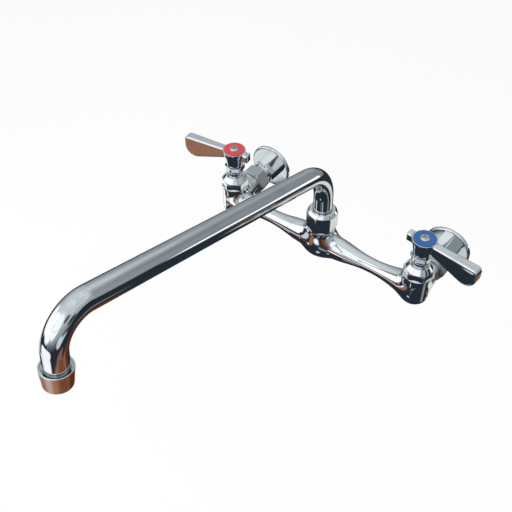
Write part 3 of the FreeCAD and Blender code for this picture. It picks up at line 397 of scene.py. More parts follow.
def slope(shape: Field, points: Array, reach: float = 0.02) -> Array:
    """Measures a field's gradient by small steps each way.

    Args:
        shape: The field.
        points: Where the gradient is measured.
        reach: The length of a step.

    Returns:
        One gradient for each point.
    """
    columns = []
    for step in np.eye(3) * reach:
        columns.append((shape(points + step) - shape(points - step)) / (2 * reach))
    return np.stack(columns, axis=-1)


def surface_net(shape: Field, low: Sequence[float], high: Sequence[float], step: float) -> Shell:
    """Wraps the zero level of a field in a closed net of quads.

    Args:
        shape: The field, negative inside.
        low: Lowest corner of the box that holds the shape.
        high: Highest corner of that box.
        step: The net's spacing.

    Returns:
        The surface with the field's own normals.
    """
    start = np.array(low, float)
    counts = np.ceil((np.array(high) - start) / step).astype(int) + 1
    axes = [start[axis] + step * np.arange(counts[axis]) for axis in range(3)]
    grid = np.stack(np.meshgrid(*axes, indexing="ij"), axis=-1)
    # Only the places near the skin are worth a full measurement
    rough = shape(grid[::2, ::2, ::2].reshape(-1, 3)).reshape((counts + 1) // 2)
    values = rough.repeat(2, 0).repeat(2, 1).repeat(2, 2)[: counts[0], : counts[1], : counts[2]]
    near = np.abs(values) < 4 * step
    values[near] = shape(grid[near])
    # Each cell's point is the mean of where the skin crosses its edges
    total = np.zeros((*(counts - 1), 3))
    number = np.zeros(counts - 1)
    crossings = []
    halves = (slice(0, -1), slice(1, None))
    for axis in range(3):
        ends = [[slice(None)] * 3 for _ in halves]
        for end, half in zip(ends, halves):
            end[axis] = half
        here, there = (values[tuple(end)] for end in ends)
        crossed = (here < 0) != (there < 0)
        part = np.where(crossed, here / np.where(crossed, here - there, 1), 0)
        point = grid[tuple(ends[0])].copy()
        point[..., axis] += part * step
        for one in halves:
            for two in halves:
                pick = [slice(None)] * 3
                pick[(axis + 1) % 3], pick[(axis + 2) % 3] = one, two
                hit = crossed[tuple(pick)]
                total += point[tuple(pick)] * hit[..., None]
                number += hit
        crossings.append((axis, crossed, here < 0))
    used = number > 0
    ids = np.full(used.shape, -1)
    ids[used] = np.arange(int(used.sum()))
    points = total[used] / number[used][:, None]
    # Each crossed edge gets a quad between its four cells
    faces: list[tuple[int, ...]] = []
    for axis, crossed, leaving in crossings:
        one, two = np.eye(3, dtype=int)[[(axis + 1) % 3, (axis + 2) % 3]]
        nodes = np.argwhere(crossed)
        out = leaving[crossed]
        cells = [nodes - one - two, nodes - two, nodes, nodes - one]
        quads = np.stack([ids[tuple(cell.T)] for cell in cells], axis=-1)
        quads[~out] = quads[~out][:, ::-1]
        faces += [tuple(quad) for quad in quads.tolist()]
    # A few steps down the gradient bring the points onto the skin
    lean = slope(shape, points)
    lean /= np.maximum((lean * lean).sum(axis=1), 0.05)[:, None]
    for _ in range(3):
        points = points - np.clip(lean * shape(points)[:, None], -step, step)
    normals = slope(shape, points)
    normals /= np.maximum(np.linalg.norm(normals, axis=1), 1e-6)[:, None]
    return Shell(points, faces, normals)


@dataclass(frozen=True)
class Chrome:
    """Chrome plate: a mirror that faint waves, scratches and wiping marks disturb.

    The marks have the smudge colour and the smudged roughness.
    """

    name: str
    colour: str = "#D6D9DB"
    smudge: str = "#C3C8CC"
    roughness: float = 0.035
    smudged: float = 0.11
    wave_length: float = 14.0
    wave_height: float = 0.012
    scratch_length: float = 0.9
    scratch_height: float = 0.0006
    waves_per_smudge: float = 1.7
    smudge_start: float = 0.5
    smudge_full: float = 0.78

    def build(self) -> Material:
        """Builds the plate's material.

        Returns:
            The new material.
        """
        material = new_material(self.name)
        add = partial(add_node, material.node_tree)
        place = add("ShaderNodeTexCoord").outputs["Object"]
        spread = 1 / (self.wave_length * self.waves_per_smudge * MM)
        marks = add(
            "ShaderNodeTexNoise", {"Vector": place, "Scale": spread, "Detail": 5.0, "Roughness": 0.62}
        )
        wiped = add(
            "ShaderNodeMapRange",
            {"Value": marks, "From Min": self.smudge_start, "From Max": self.smudge_full},
            interpolation_type="SMOOTHSTEP",
        )
        shades = {0: wiped, 6: linear(self.colour), 7: linear(self.smudge)}
        colour = add("ShaderNodeMix", shades, data_type="RGBA").outputs[2]
        rough = add("ShaderNodeMapRange", {"Value": wiped, "To Min": self.roughness, "To Max": self.smudged})
        waves = add(
            "ShaderNodeTexNoise", {"Vector": place, "Scale": 1 / (self.wave_length * MM), "Detail": 1.0}
        )
        scratches = add(
            "ShaderNodeTexNoise", {"Vector": place, "Scale": 1 / (self.scratch_length * MM), "Detail": 3.0}
        )
        broad = add("ShaderNodeBump", {"Height": waves, "Distance": self.wave_height * MM})
        fine = add(
            "ShaderNodeBump",
            {"Height": scratches, "Distance": self.scratch_height * MM, "Normal": broad},
        )
        shader = material.node_tree.nodes["Principled BSDF"]
        feed(shader, {"Metallic": 1.0, "Base Color": colour, "Roughness": rough, "Normal": fine})
        return material


@dataclass(frozen=True)
class Moulded:
    """Moulded, lapped, bare or lacquered matter: an even colour with fine grain and a soft gloss.

    The grain runs from the colour to the worn one, and a painted shade, mixed in by ambient occlusion,
    darkens corners within its reach.
    """

    name: str
    colour: str
    worn: str
    roughness: float
    grain: float
    grain_height: float
    metallic: float = 0.0
    coat: float = 0.0
    corner_shade: str = ""
    corner_shade_reach: float = 1.2

    def build(self) -> Material:
        """Builds the material.

        Returns:
            The new material.
        """
        material = new_material(self.name)
        add = partial(add_node, material.node_tree)
        place = add("ShaderNodeTexCoord").outputs["Object"]
        scale = 1 / (self.grain * MM)
        grain = add("ShaderNodeTexNoise", {"Vector": place, "Scale": scale, "Detail": 4.0, "Roughness": 0.6})
        shades = {0: grain, 6: linear(self.colour), 7: linear(self.worn)}
        colour = add("ShaderNodeMix", shades, data_type="RGBA").outputs[2]
        # Painted shade: ambient occlusion darkens the colour towards the shade colour in corners and
        # recesses
        if self.corner_shade:
            corners = add("ShaderNodeAmbientOcclusion", {"Distance": self.corner_shade_reach * MM}, samples=8)
            shades = {0: corners.outputs["AO"], 6: linear(self.corner_shade), 7: colour}
            colour = add("ShaderNodeMix", shades, data_type="RGBA").outputs[2]
        rough = add(
            "ShaderNodeMapRange",
            {"Value": grain, "To Min": self.roughness * 0.8, "To Max": self.roughness * 1.3},
        )
        bump = add("ShaderNodeBump", {"Height": grain, "Distance": self.grain_height * MM})
        shader = material.node_tree.nodes["Principled BSDF"]
        feed(shader, {"Metallic": self.metallic, "Coat Weight": self.coat, "Coat Roughness": 0.06})
        feed(shader, {"Base Color": colour, "Roughness": rough, "Normal": bump})
        return material


def made(finish: Chrome | Moulded) -> Material:
    """Returns a field of a set that builds the finish's material."""
    return field(default_factory=finish.build)


@dataclass
class Finishes:
    """Every material of the tap, built once."""

    # Chrome on drawn brass tube: long, calm reflections
    tube: Material = made(Chrome("chrome_on_drawn_tube", wave_length=24.0, wave_height=0.030))
    # Chrome on polished casting: the buffed metal rolls more, so reflections swim
    casting: Material = made(Chrome("chrome_on_polished_casting", wave_length=9.0, wave_height=0.036))
    # Chrome on turned brass: the crispest mirror
    turned: Material = made(Chrome("chrome_on_turned_brass", wave_length=11.0))
    # Satin chrome: tumbled before plating, so reflections are only soft patches
    satin: Material = made(
        Chrome("satin_chrome_on_machined_brass", "#B4B8B7", "#A3A7A6", 0.36, 0.46, 7.0, 0.003, 0.5, 0.002)
    )
    # Coloured anodised aluminium disc under clear lacquer: flat colour with fine grain
    red: Material = made(Moulded("red_lacquered_disc", "#C2383D", "#B53137", 0.36, 0.5, 0.004, coat=0.2))
    blue: Material = made(Moulded("blue_lacquered_disc", "#1B5799", "#164C87", 0.36, 0.5, 0.004, coat=0.2))
    # Stainless steel: turned and tumbled, greyer and softer than chrome, with painted shade in its corners
    steel: Material = made(
        Moulded("tumbled_stainless_steel", "#D8D6D0", "#C2C0BA", 0.24, 0.6, 0.003, 1.0, corner_shade="#2A2723")
    )
    # Machined brass: bare metal inside the valve, warm and fairly sharp
    brass: Material = made(Moulded("machined_brass", "#D2B36A", "#BF9F58", 0.22, 0.8, 0.003, 1.0))
    # Nitrile rubber: black and dull
    rubber: Material = made(Moulded("nitrile_rubber", "#1C1C1D", "#252526", 0.62, 0.4, 0.008))
    # Alumina ceramic: white and lapped flat
    ceramic: Material = made(Moulded("lapped_alumina", "#F0EEE8", "#E6E3DB", 0.12, 0.5, 0.001))
    # Acetal and nylon: milky white, slightly waxy
    nylon: Material = made(Moulded("moulded_acetal", "#E9E8E2", "#DEDDD5", 0.38, 0.7, 0.004))


def hand_over(piece: bpy.types.Object, replaced: str, body: str = "body") -> None:
    """Lets a piece replace its node and ride on its body.

    Args:
        piece: The shown piece.
        replaced: The node that it stands for.
        body: The body that it rides on.
    """
    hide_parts(replaced)
    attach(piece, body)
    LOG.info("%s rides on %s with %d faces", piece.name, body, len(piece.data.polygons))


def make_piece(
    name: str,
    shells: Sequence[Shell],
    material: Material,
    replaced: str,
    body: str = "body",
) -> None:
    """Makes one shown piece from its shells and hands it to the frame.

    Args:
        name: The piece's name.
        shells: Its closed surfaces in the shared frame, all with normals of their own or none.
        material: Its finish.
        replaced: The node that it stands for.
        body: The body that it rides on.
    """
    faces: list[tuple[int, ...]] = []
    count = 0
    for shell in shells:
        faces += [tuple(corner + count for corner in face) for face in shell.faces]
        count += len(shell.points)
    mesh = bpy.data.meshes.new(name)
    mesh.from_pydata((np.concatenate([shell.points for shell in shells]) * MM).tolist(), [], faces)
    mesh.validate()
    mesh.shade_smooth()
    if shells[0].normals is None:
        mesh.set_sharp_from_angle(angle=math.radians(CREASE))
    else:
        normals = np.concatenate([shell.normals for shell in shells])
        mesh.normals_split_custom_set_from_vertices(normals.tolist())
    mesh.materials.append(material)
    hand_over(new_object(name, mesh), replaced, body)


def joint_place(name: str) -> Vector:
    """Returns the place of a joint's axis in millimetres."""
    joint = next(entry for entry in frame["joints"] if entry["name"] == name)
    return Vector(joint["pos_m"]) / MM


def stem_place(water: Water) -> Vector:
    """Returns the place of a side's valve axis in millimetres."""
    return joint_place(f"{water.value}_handle_turn")


def upright(axis: Vector) -> Matrix:
    """Returns the matrix of a piece that stands on level 0 round an upright axis."""
    return Matrix.Translation((axis.x, axis.y, 0.0))


def start_tree(name: str, seed: str, sizes: Sequence[str]) -> NodeTree:
    """Starts a geometry node tree with named inputs.

    Args:
        name: The tree's name.
        seed: The name of its geometry input.
        sizes: The names of its number inputs.

    Returns:
        The tree, with a further input for its finish.
    """
    tree = bpy.data.node_groups.new(name, "GeometryNodeTree")
    inputs = [(seed, "Geometry"), *((size, "Float") for size in sizes), ("Finish", "Material")]
    for label, kind in inputs:
        tree.interface.new_socket(label, in_out="INPUT", socket_type=f"NodeSocket{kind}")
    tree.interface.new_socket("Piece", in_out="OUTPUT", socket_type="NodeSocketGeometry")
    return tree


def end_tree(tree: NodeTree, shape: Node, finish: Socket) -> None:
    """Ends a geometry node tree with a real, smooth and dressed shape.

    Args:
        tree: The tree.
        shape: The node that gives the shape.
        finish: The tree's input for its finish.
    """
    real = add_node(tree, "GeometryNodeRealizeInstances", {0: shape})
    smooth = add_node(tree, "GeometryNodeSetShadeSmooth", {0: real})
    dressed = add_node(tree, "GeometryNodeSetMaterial", {0: smooth, "Material": finish})
    add_node(tree, "NodeGroupOutput", {0: dressed})


def grown(
    name: str,
    seed: bpy.types.Mesh | bpy.types.Curve,
    tree: NodeTree,
    sizes: dict[str, object],
) -> bpy.types.Object:
    """Runs a node tree on a seed and keeps its result as a plain mesh.

    Args:
        name: The new object's name.
        seed: The points or the curve that the tree starts from.
        tree: The geometry node tree.
        sizes: The value of each named input.

    Returns:
        The object that holds the plain mesh.
    """
    source = new_object(f"{name}_seed", seed)
    modifier = source.modifiers.new("grow", "NODES")
    modifier.node_group = tree
    for item in tree.interface.items_tree:
        if item.name in sizes:
            modifier[item.identifier] = sizes[item.name]
    graph = bpy.context.evaluated_depsgraph_get()
    mesh = bpy.data.meshes.new_from_object(source.evaluated_get(graph), depsgraph=graph)
    source.modifiers.remove(modifier)
    bpy.data.objects.remove(source)
    mesh.name = name
    return new_object(name, mesh)


@dataclass
class Casting:
    """The cast body: two valve chambers, two waisted arms, boss and wall ports."""

    finishes: Finishes
    middle: Vector
    half_spacing: float
    net_step: float = 0.65
    arm_drop: float = 2.0
    arm_radius: float = 13.2
    waist_radius: float = 6.8
    waist_from_middle: float = 57.0
    waist_curve: float = 112.0
    flare_from_stem: float = 12.6
    arm_flattening: float = 0.16
    flattening_start: float = 13.0
    flattening_end: float = 42.0
    boss_radius: float = 12.9
    boss_top: float = 16.3
    boss_bottom: float = 12.6
    boss_round: float = 5.5
    boss_blend: float = 8.0
    chamber_radius: float = 12.4
    chamber_round: float = 6.0
    chamber_bottom: float = 15.0
    chamber_top: float = 17.5
    chamber_blend: float = 5.0
    rim_radius: float = 13.2
    rim_height: float = 3.2
    port_radius: float = 12.2
    port_smooth: float = 15.5
    port_blend: float = 2.5
    edge: float = 0.7

    def arm_side(self, across: Array) -> tuple[Array, Array]:
        """Draws the arms' side: a crown in the middle and a hollow arc round each waist.

        Args:
            across: Places along X.

        Returns:
            The arms' radius at the places, and its slope.
        """
        flare = self.half_spacing - self.flare_from_stem
        away = np.minimum(np.abs(across), flare)
        waist, curve = self.waist_from_middle, self.waist_curve
        rise = self.waist_radius + curve - self.arm_radius
        crown = (waist**2 + rise**2 - curve**2) / (2 * (curve - rise))
        meet = waist * crown / (crown + curve)
        inner = np.sqrt(np.maximum(crown**2 - np.minimum(away, meet) ** 2, 0.01))
        outer = np.sqrt(np.maximum(curve**2 - (away - waist) ** 2, 0.01))
        radius = np.where(away < meet, self.arm_radius - crown + inner, self.waist_radius + curve - outer)
        lean = np.where(away < meet, -away / inner, (away - waist) / outer)
        return radius, np.where(away < flare, lean, 0.0)

    def distance(self, points: Array) -> Array:
        """Measures how far points lie outside the casting's skin.

        Args:
            points: The points.

        Returns:
            One distance for each point, negative inside.
        """
        across, deep, up = (points - np.array(self.middle)).T
        radius, lean = self.arm_side(across)
        flatter = 1 - smooth_step(self.flattening_start, self.flattening_end, np.abs(across))
        squeeze = 1 - self.arm_flattening * flatter
        arms = (np.hypot(deep / squeeze, up + self.arm_drop) - radius) * squeeze / np.hypot(1, lean)
        arms = np.maximum(arms, np.abs(across) - self.half_spacing)
        boss = [
            (self.boss_radius, -self.boss_bottom, self.boss_round),
            (self.boss_radius, self.boss_top, self.edge),
        ]
        shape = round_union(arms, turned_distance(boss, across, deep, up), self.boss_blend)
        rim_foot = self.chamber_top - self.rim_height
        chamber = [
            (self.chamber_radius, -self.chamber_bottom, self.chamber_round),
            (self.chamber_radius, rim_foot, 0.3),
            (self.rim_radius, rim_foot + self.rim_radius - self.chamber_radius, 0.4),
            (self.rim_radius, self.chamber_top, self.edge),
        ]
        port = [(self.port_radius, -1.0, 0.3), (self.port_radius, self.port_smooth, self.edge)]
        for stem in (-self.half_spacing, self.half_spacing):
            beside = across - stem
            shape = round_union(shape, turned_distance(chamber, beside, deep, up), self.chamber_blend)
            shape = round_union(shape, turned_distance(port, beside, up, deep), self.port_blend)
        return shape

    def build(self) -> None:
        """Makes the skin of the casting and the threads of its ports."""
        # The box leaves room all round the skin
        reach = self.half_spacing + self.rim_radius + 1.5
        low = (-reach, self.middle.y - self.rim_radius - 2.0, -self.chamber_bottom - 2.5)
        high = (reach, self.middle.y + self.port_smooth + 1.5, self.chamber_top + 1.5)
        skin = surface_net(self.distance, low, high, self.net_step)
        make_piece("mixer_body_skin", [skin], self.finishes.casting, "mixer_body")
        PortThreads(self.finishes.casting).build()


@dataclass
class PortThreads:
    """The outside threads of both wall ports, wound by geometry nodes."""

    material: Material
    crest_radius: float = 11.0
    depth: float = 0.75
    pitch: float = 1.81
    length: float = 17.0
    casting_end: float = 46.2

    def tree(self) -> NodeTree:
        """Builds the node tree that winds a thread on each place.

        Returns:
            The tree.
        """
        tree = start_tree("port_threads", "Places", ("Crest radius", "Depth", "Length", "Turns"))
        add = partial(add_node, tree)
        given = add("NodeGroupInput").outputs
        length = given["Length"]
        core = add("ShaderNodeMath", {0: given["Crest radius"], 1: given["Depth"]}, operation="SUBTRACT")
        spiral = add(
            "GeometryNodeCurveSpiral",
            {
                "Resolution": 64,
                "Rotations": given["Turns"],
                "Start Radius": core,
                "End Radius": core,
                "Height": length,
            },
        )
        ridge = add(
            "GeometryNodeCurvePrimitiveCircle", {"Resolution": 6, "Radius": given["Depth"]}, mode="RADIUS"
        )
        thread = add("GeometryNodeCurveToMesh", {"Curve": spiral, "Profile Curve": ridge, "Fill Caps": True})
        barrel = add("GeometryNodeMeshCylinder", {"Vertices": 96, "Radius": core, "Depth": length})
        half = add("ShaderNodeMath", {0: length, 1: 0.5}, operation="MULTIPLY")
        lift = add("ShaderNodeCombineXYZ", {"Z": half})
        barrel = add("GeometryNodeTransform", {"Geometry": barrel, "Translation": lift})
        both = add("GeometryNodeJoinGeometry")
        feed(both, {0: thread})
        feed(both, {0: barrel})
        outward = (math.radians(90), 0.0, 0.0)
        placed = add(
            "GeometryNodeInstanceOnPoints",
            {"Points": given["Places"], "Instance": both, "Rotation": outward},
        )
        end_tree(tree, placed, given["Finish"])
        return tree

    def build(self) -> None:
        """Winds the threads at both ports."""
        wall_end = (self.length - self.casting_end) * MM
        mesh = bpy.data.meshes.new("port_places")
        mesh.from_pydata([(stem_place(water).x * MM, wall_end, 0.0) for water in Water], [], [])
        sizes = {
            "Crest radius": self.crest_radius * MM,
            "Depth": self.depth * MM,
            "Length": self.length * MM,
            "Turns": self.length / self.pitch,
            "Finish": self.material,
        }
        hand_over(grown("port_threads", mesh, self.tree(), sizes), "mixer_body")


@dataclass
class WallCoupling:
    """One wall flange with its hexagon and the coupling nut in front of it."""

    finishes: Finishes
    water: Water
    flange_radius: float = 22.7
    flange_thickness: float = 3.4
    flange_round: float = 1.6
    hub_flats: float = 21.4
    hub_end: float = 16.8
    hub_chamfer: float = 1.1
    hub_turn: float = 16.4
    hub_sunk: float = 0.6
    thread_radius: float = 9.3
    thread_depth: float = 13.0
    bore_radius: float = 6.8
    tail_radius: float = 9.6
    tail_end: float = 27.4
    nut_flats: float = 25.4
    nut_start: float = 22.8
    nut_end: float = 37.4
    nut_chamfer: float = 2.0
    nut_face: float = 12.3
    nut_hole: float = 9.75
    nut_bore: float = 11.15
    nut_shoulder: float = 2.4

    def build(self) -> None:
        """Makes the flange and the nut, whose heights count from the wall outward."""
        side = self.water.value
        wall = Matrix.Translation((stem_place(self.water).x, 0.0, 0.0))
        matrix = wall @ Matrix.Rotation(math.radians(90), 4, "X")
        disc = [
            (self.thread_radius, 0.0, 0.3),
            (self.flange_radius, 0.0, 0.3),
            (self.flange_radius, self.flange_thickness, self.flange_round),
            (self.tail_radius, self.flange_thickness, 0.6),
            (self.tail_radius, self.tail_end, 0.3),
            (self.bore_radius, self.tail_end, 0.3),
            (self.bore_radius, self.thread_depth, 0.2),
            (self.thread_radius, self.thread_depth, 0.2),
        ]
        hexagon = Hexagon(self.hub_flats, self.hub_turn)
        inner, corner = self.tail_radius - 0.15, hexagon.past(0.4)
        foot = self.flange_thickness - self.hub_sunk
        hub = [
            (inner, foot, 0.0),
            (corner, foot, 0.0),
            (corner, self.hub_end - self.hub_chamfer, 0.4),
            (self.hub_flats / 2, self.hub_end, 0.35),
            (inner, self.hub_end, 0.0),
        ]
        shells = [lathe(disc, matrix, 8, 160), lathe(hub, matrix, 8, hexagon=hexagon)]
        make_piece(f"wall_flange_{side}", shells, self.finishes.turned, f"inlet_flange_{side}")
        hexagon = Hexagon(self.nut_flats, 0.0, softness=0.9)
        corner = hexagon.past(0.4)
        shoulder = self.nut_start + self.nut_shoulder
        nut = [
            (self.nut_hole, self.nut_start, 0.3),
            (self.nut_face, self.nut_start, 0.5),
            (corner, self.nut_start + self.nut_chamfer, 0.6),
            (corner, self.nut_end - self.nut_chamfer, 0.6),
            (self.nut_face, self.nut_end, 0.5),
            (self.nut_bore, self.nut_end, 0.3),
            (self.nut_bore, shoulder, 0.0),
            (self.nut_hole, shoulder, 0.0),
        ]
        shell = lathe(nut, matrix, 8, hexagon=hexagon)
        make_piece(f"coupling_nut_{side}", [shell], self.finishes.satin, f"union_nut_{side}")


@dataclass
class Valve:
    """One valve's visible fixed parts: the bonnet nut and the cartridge's neck and head.

    Turns are given for hot and for cold.
    """

    finishes: Finishes
    water: Water
    nut_flats: float = 23.8
    nut_turns: tuple[float, float] = (31.0, 16.6)
    nut_bottom: float = 17.5
    nut_hole: float = 7.05
    shoulder_depth: float = 3.5
    cone_radius: float = 8.7
    cone_rise: float = 1.4
    neck_radius: float = 6.9
    neck_hidden: float = 3.0
    ring_radius: float = 8.4
    ring_bottom: float = 33.8
    ring_height: float = 1.4
    head_flats: float = 17.0
    head_turns: tuple[float, float] = (38.2, 20.7)
    head_top: float = 41.0
    head_bevel_radius: float = 9.2
    head_bevel_drop: float = 0.6
    stem_hole: float = 4.06

    def build_nut(self, matrix: Matrix) -> None:
        """Makes the bonnet nut: a hexagon with a round conical shoulder.

        Args:
            matrix: Where the valve stands.
        """
        node = f"bonnet_nut_{self.water.value}"
        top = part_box(node)[1][2] / MM
        shoulder = top - self.shoulder_depth
        cone_foot, cone_top = shoulder - 0.5, top + self.cone_rise
        hexagon = Hexagon(self.nut_flats, self.water.pick(*self.nut_turns), 45.0, 0.8)
        corner = hexagon.past(0.3)
        nut = [
            (self.nut_hole, self.nut_bottom, 0.0),
            (corner, self.nut_bottom, 0.4),
            (corner, shoulder, 0.9),
            (self.nut_hole, shoulder, 0.0),
        ]
        cone = [
            (self.nut_hole, cone_foot, 0.0),
            (self.nut_flats / 2, cone_foot, 0.0),
            (self.nut_flats / 2, shoulder + 0.2, 0.6),
            (self.cone_radius, cone_top, 0.8),
            (self.nut_hole, cone_top, 0.3),
        ]
        shells = [lathe(nut, matrix, 8, hexagon=hexagon), lathe(cone, matrix, 8)]
        make_piece(f"bonnet_hexagon_{self.water.value}", shells, self.finishes.casting, node)

    def build_cartridge(self, matrix: Matrix) -> None:
        """Makes the cartridge's round neck with its ring, and its hexagonal head.

        Args:
            matrix: Where the valve stands.
        """
        low = self.nut_bottom - self.neck_hidden
        ring_top = self.ring_bottom + self.ring_height
        neck = [
            (self.stem_hole, low, 0.0),
            (self.neck_radius, low, 0.0),
            (self.neck_radius, self.ring_bottom, 0.5),
            (self.ring_radius, self.ring_bottom, 0.5),
            (self.ring_radius, ring_top, 0.5),
            (self.stem_hole, ring_top, 0.0),
        ]
        hexagon = Hexagon(self.head_flats, self.water.pick(*self.head_turns))
        corner = hexagon.past(0.3)
        head = [
            (self.stem_hole, ring_top, 0.0),
            (self.ring_radius, ring_top, 0.0),
            (corner, ring_top + corner - self.ring_radius, 0.3),
            (corner, self.head_top - self.head_bevel_drop, 0.4),
            (self.head_bevel_radius, self.head_top, 0.3),
            (self.stem_hole, self.head_top, 0.2),
        ]
        shells = [lathe(neck, matrix, segments=96), lathe(head, matrix, hexagon=hexagon)]
        side = self.water.value
        make_piece(f"cartridge_neck_{side}", shells, self.finishes.turned, f"cartridge_body_{side}")

    def build(self) -> None:
        """Makes the nut and the cartridge."""
        matrix = upright(stem_place(self.water))
        self.build_nut(matrix)
        self.build_cartridge(matrix)


@dataclass
class Handles:
    """Both lever handles, each with its index disc and screw.

    Turns are given for hot and for cold.
    """

    finishes: Finishes
    turns: tuple[float, float] = (-172.6, -5.7)
    net_step: float = 0.42
    reach: float = 53.8
    top: float = 57.8
    root_depth: float = 10.1
    root_from_stem: float = 9.0
    under_angle: float = 18.7
    tip_radius: float = 11.0
    tip_corner: float = 4.5
    stub_length: float = 16.0
    stub_depth: float = 8.4
    thickness: float = 7.8
    tip_thickness: float = 9.4
    edge: float = 1.7
    dish_depth: float = 0.12
    dish_border: tuple[float, float] = (1.8, 4.8)
    dish_start: tuple[float, float] = (12.0, 19.0)
    hub_bottom: float = 41.4
    hub_top: float = 58.6
    hub_foot: float = 7.7
    hub_neck: float = 9.4
    hub_neck_height: float = 10.2
    hub_rim: float = 10.8
    hub_rim_height: float = 1.8
    hub_blend: float = 1.4
    disc_radius: float = 9.9
    disc_thickness: float = 1.1
    disc_hole: float = 2.05
    disc_gap: float = 0.12
    seat_depth: float = 0.4
    screw_radius: float = 4.3
    screw_height: float = 1.3
    screw_land: float = 0.4
    screw_turn: float = 38.0
    screw_net_step: float = 0.13
    slot_width: float = 1.3
    slot_reach: float = 2.8
    slot_depth: float = 1.1
    slot_taper: float = 0.35
    slot_round: float = 0.12

    def side_outline(self) -> Array:
        """Draws the lever's side: stub, shallow root and deep rounded blade.

        Returns:
            The outline's points.
        """
        root = self.top - self.root_depth
        fall = math.tan(math.radians(self.under_angle)) * (self.reach - self.root_from_stem)
        stub = self.top - self.stub_depth
        corners = [
            (-self.stub_length, stub, 1.2),
            (0.0, stub, 3.0),
            (self.root_from_stem, root, 8.0),
            (self.reach, root - fall, self.tip_radius),
            (self.reach, self.top, self.tip_corner),
            (-self.stub_length, self.top, 0.8),
        ]
        return round_corners(corners, 10)

    def distance(self, points: Array) -> Array:
        """Measures how far points lie outside the lever's skin.

        Args:
            points: The points, with the blade along X.

        Returns:
            One distance for each point, negative inside.
        """
        out, aside, up = points.T
        side = outline_distance(self.side_outline(), out, up)
        blade_length = self.reach - self.tip_corner - self.root_from_stem
        swell = np.clip((out - self.root_from_stem) / blade_length, 0, 1)
        half = (self.thickness + (self.tip_thickness - self.thickness) * swell) / 2
        dish = smooth_step(*self.dish_border, -side) * smooth_step(*self.dish_start, out)
        half = half - self.dish_depth * dish
        one, two = side + self.edge, np.abs(aside) - half + self.edge
        outside = np.hypot(np.maximum(one, 0), np.maximum(two, 0))
        blade = np.minimum(np.maximum(one, two), 0) + outside - self.edge
        hub = [
            (self.hub_foot, self.hub_bottom, 0.5),
            (self.hub_neck, self.hub_bottom + self.hub_neck_height, 4.0),
            (self.hub_rim, self.hub_top - self.hub_rim_height, 0.7),
            (self.hub_rim, self.hub_top - self.seat_depth, 0.2),
        ]
        return round_union(blade, turned_distance(hub, out, aside, up), self.hub_blend)

    def screw_distance(self, points: Array) -> Array:
        """Measures how far points lie outside the screw's crossed head.

        Args:
            points: The points, with the head's seat at height 0.

        Returns:
            One distance for each point, negative inside.
        """
        across, deep, up = points.T
        head = [
            (self.screw_radius, -0.6, 0.1),
            (self.screw_radius, self.screw_land, 0.35),
            (self.screw_radius - self.screw_height, self.screw_height, 0.9),
        ]
        shape = turned_distance(head, across, deep, up)
        floor = self.screw_height - self.slot_depth
        lean = (self.screw_height - up) * self.slot_taper
        for one, two in ((across, deep), (deep, across)):
            slot = np.maximum(np.abs(one) - self.slot_reach + lean, np.abs(two) - self.slot_width / 2)
            shape = -round_union(-shape, np.maximum(slot, floor - up), self.slot_round)
        return shape

    def build(self) -> None:
        """Makes the lever, the disc and the screw of both sides from shared shapes."""
        # Each box leaves room all round its skin
        low = (-self.stub_length - 1.0, -self.hub_rim - 1.0, 35.0)
        high = (self.reach + 1.0, self.hub_rim + 1.0, self.hub_top + 0.8)
        blade = surface_net(self.distance, low, high, self.net_step)
        reach = self.screw_radius + 0.3
        low, high = (-reach, -reach, -0.9), (reach, reach, self.screw_height + 0.3)
        head = surface_net(self.screw_distance, low, high, self.screw_net_step)
        seat = self.hub_top - self.seat_depth
        rim_inner, rim_outer, rim_foot = self.disc_radius + self.disc_gap, self.hub_rim + 0.02, seat - 0.8
        rim = [
            (rim_inner, rim_foot, 0.0),
            (rim_outer, rim_foot, 0.0),
            (rim_outer, self.hub_top, 0.3),
            (rim_inner, self.hub_top, 0.15),
        ]
        top = seat + self.disc_thickness
        disc = [
            (self.disc_hole, seat, 0.0),
            (self.disc_radius, seat, 0.1),
            (self.disc_radius, top, 0.3),
            (self.disc_hole, top, 0.1),
        ]
        lift = Matrix.Translation((0.0, 0.0, top)) @ Matrix.Rotation(math.radians(self.screw_turn), 4, "Z")
        chosen = self.finishes
        for water in Water:
            side, body = water.value, f"{water.value}_handle"
            turn = math.radians(water.pick(*self.turns))
            matrix = upright(stem_place(water)) @ Matrix.Rotation(turn, 4, "Z")
            colour, disc_slot = water.pick((chosen.red, "red_disc"), (chosen.blue, "blue_disc"))
            pieces = (
                ("lever_handle", blade.placed(matrix), chosen.casting, "lever", "chrome"),
                ("hub_rim", lathe(rim, matrix), chosen.turned, "lever", "chrome"),
                ("index_button", lathe(disc, matrix), colour, "index_disc", disc_slot),
                ("cross_screw", head.placed(matrix @ lift), chosen.steel, "handle_screw", "stainless"),
            )
            for name, shell, finish, node, slot in pieces:
                make_piece(f"{name}_{side}", [shell], finish, f"{node}_{side}", body)


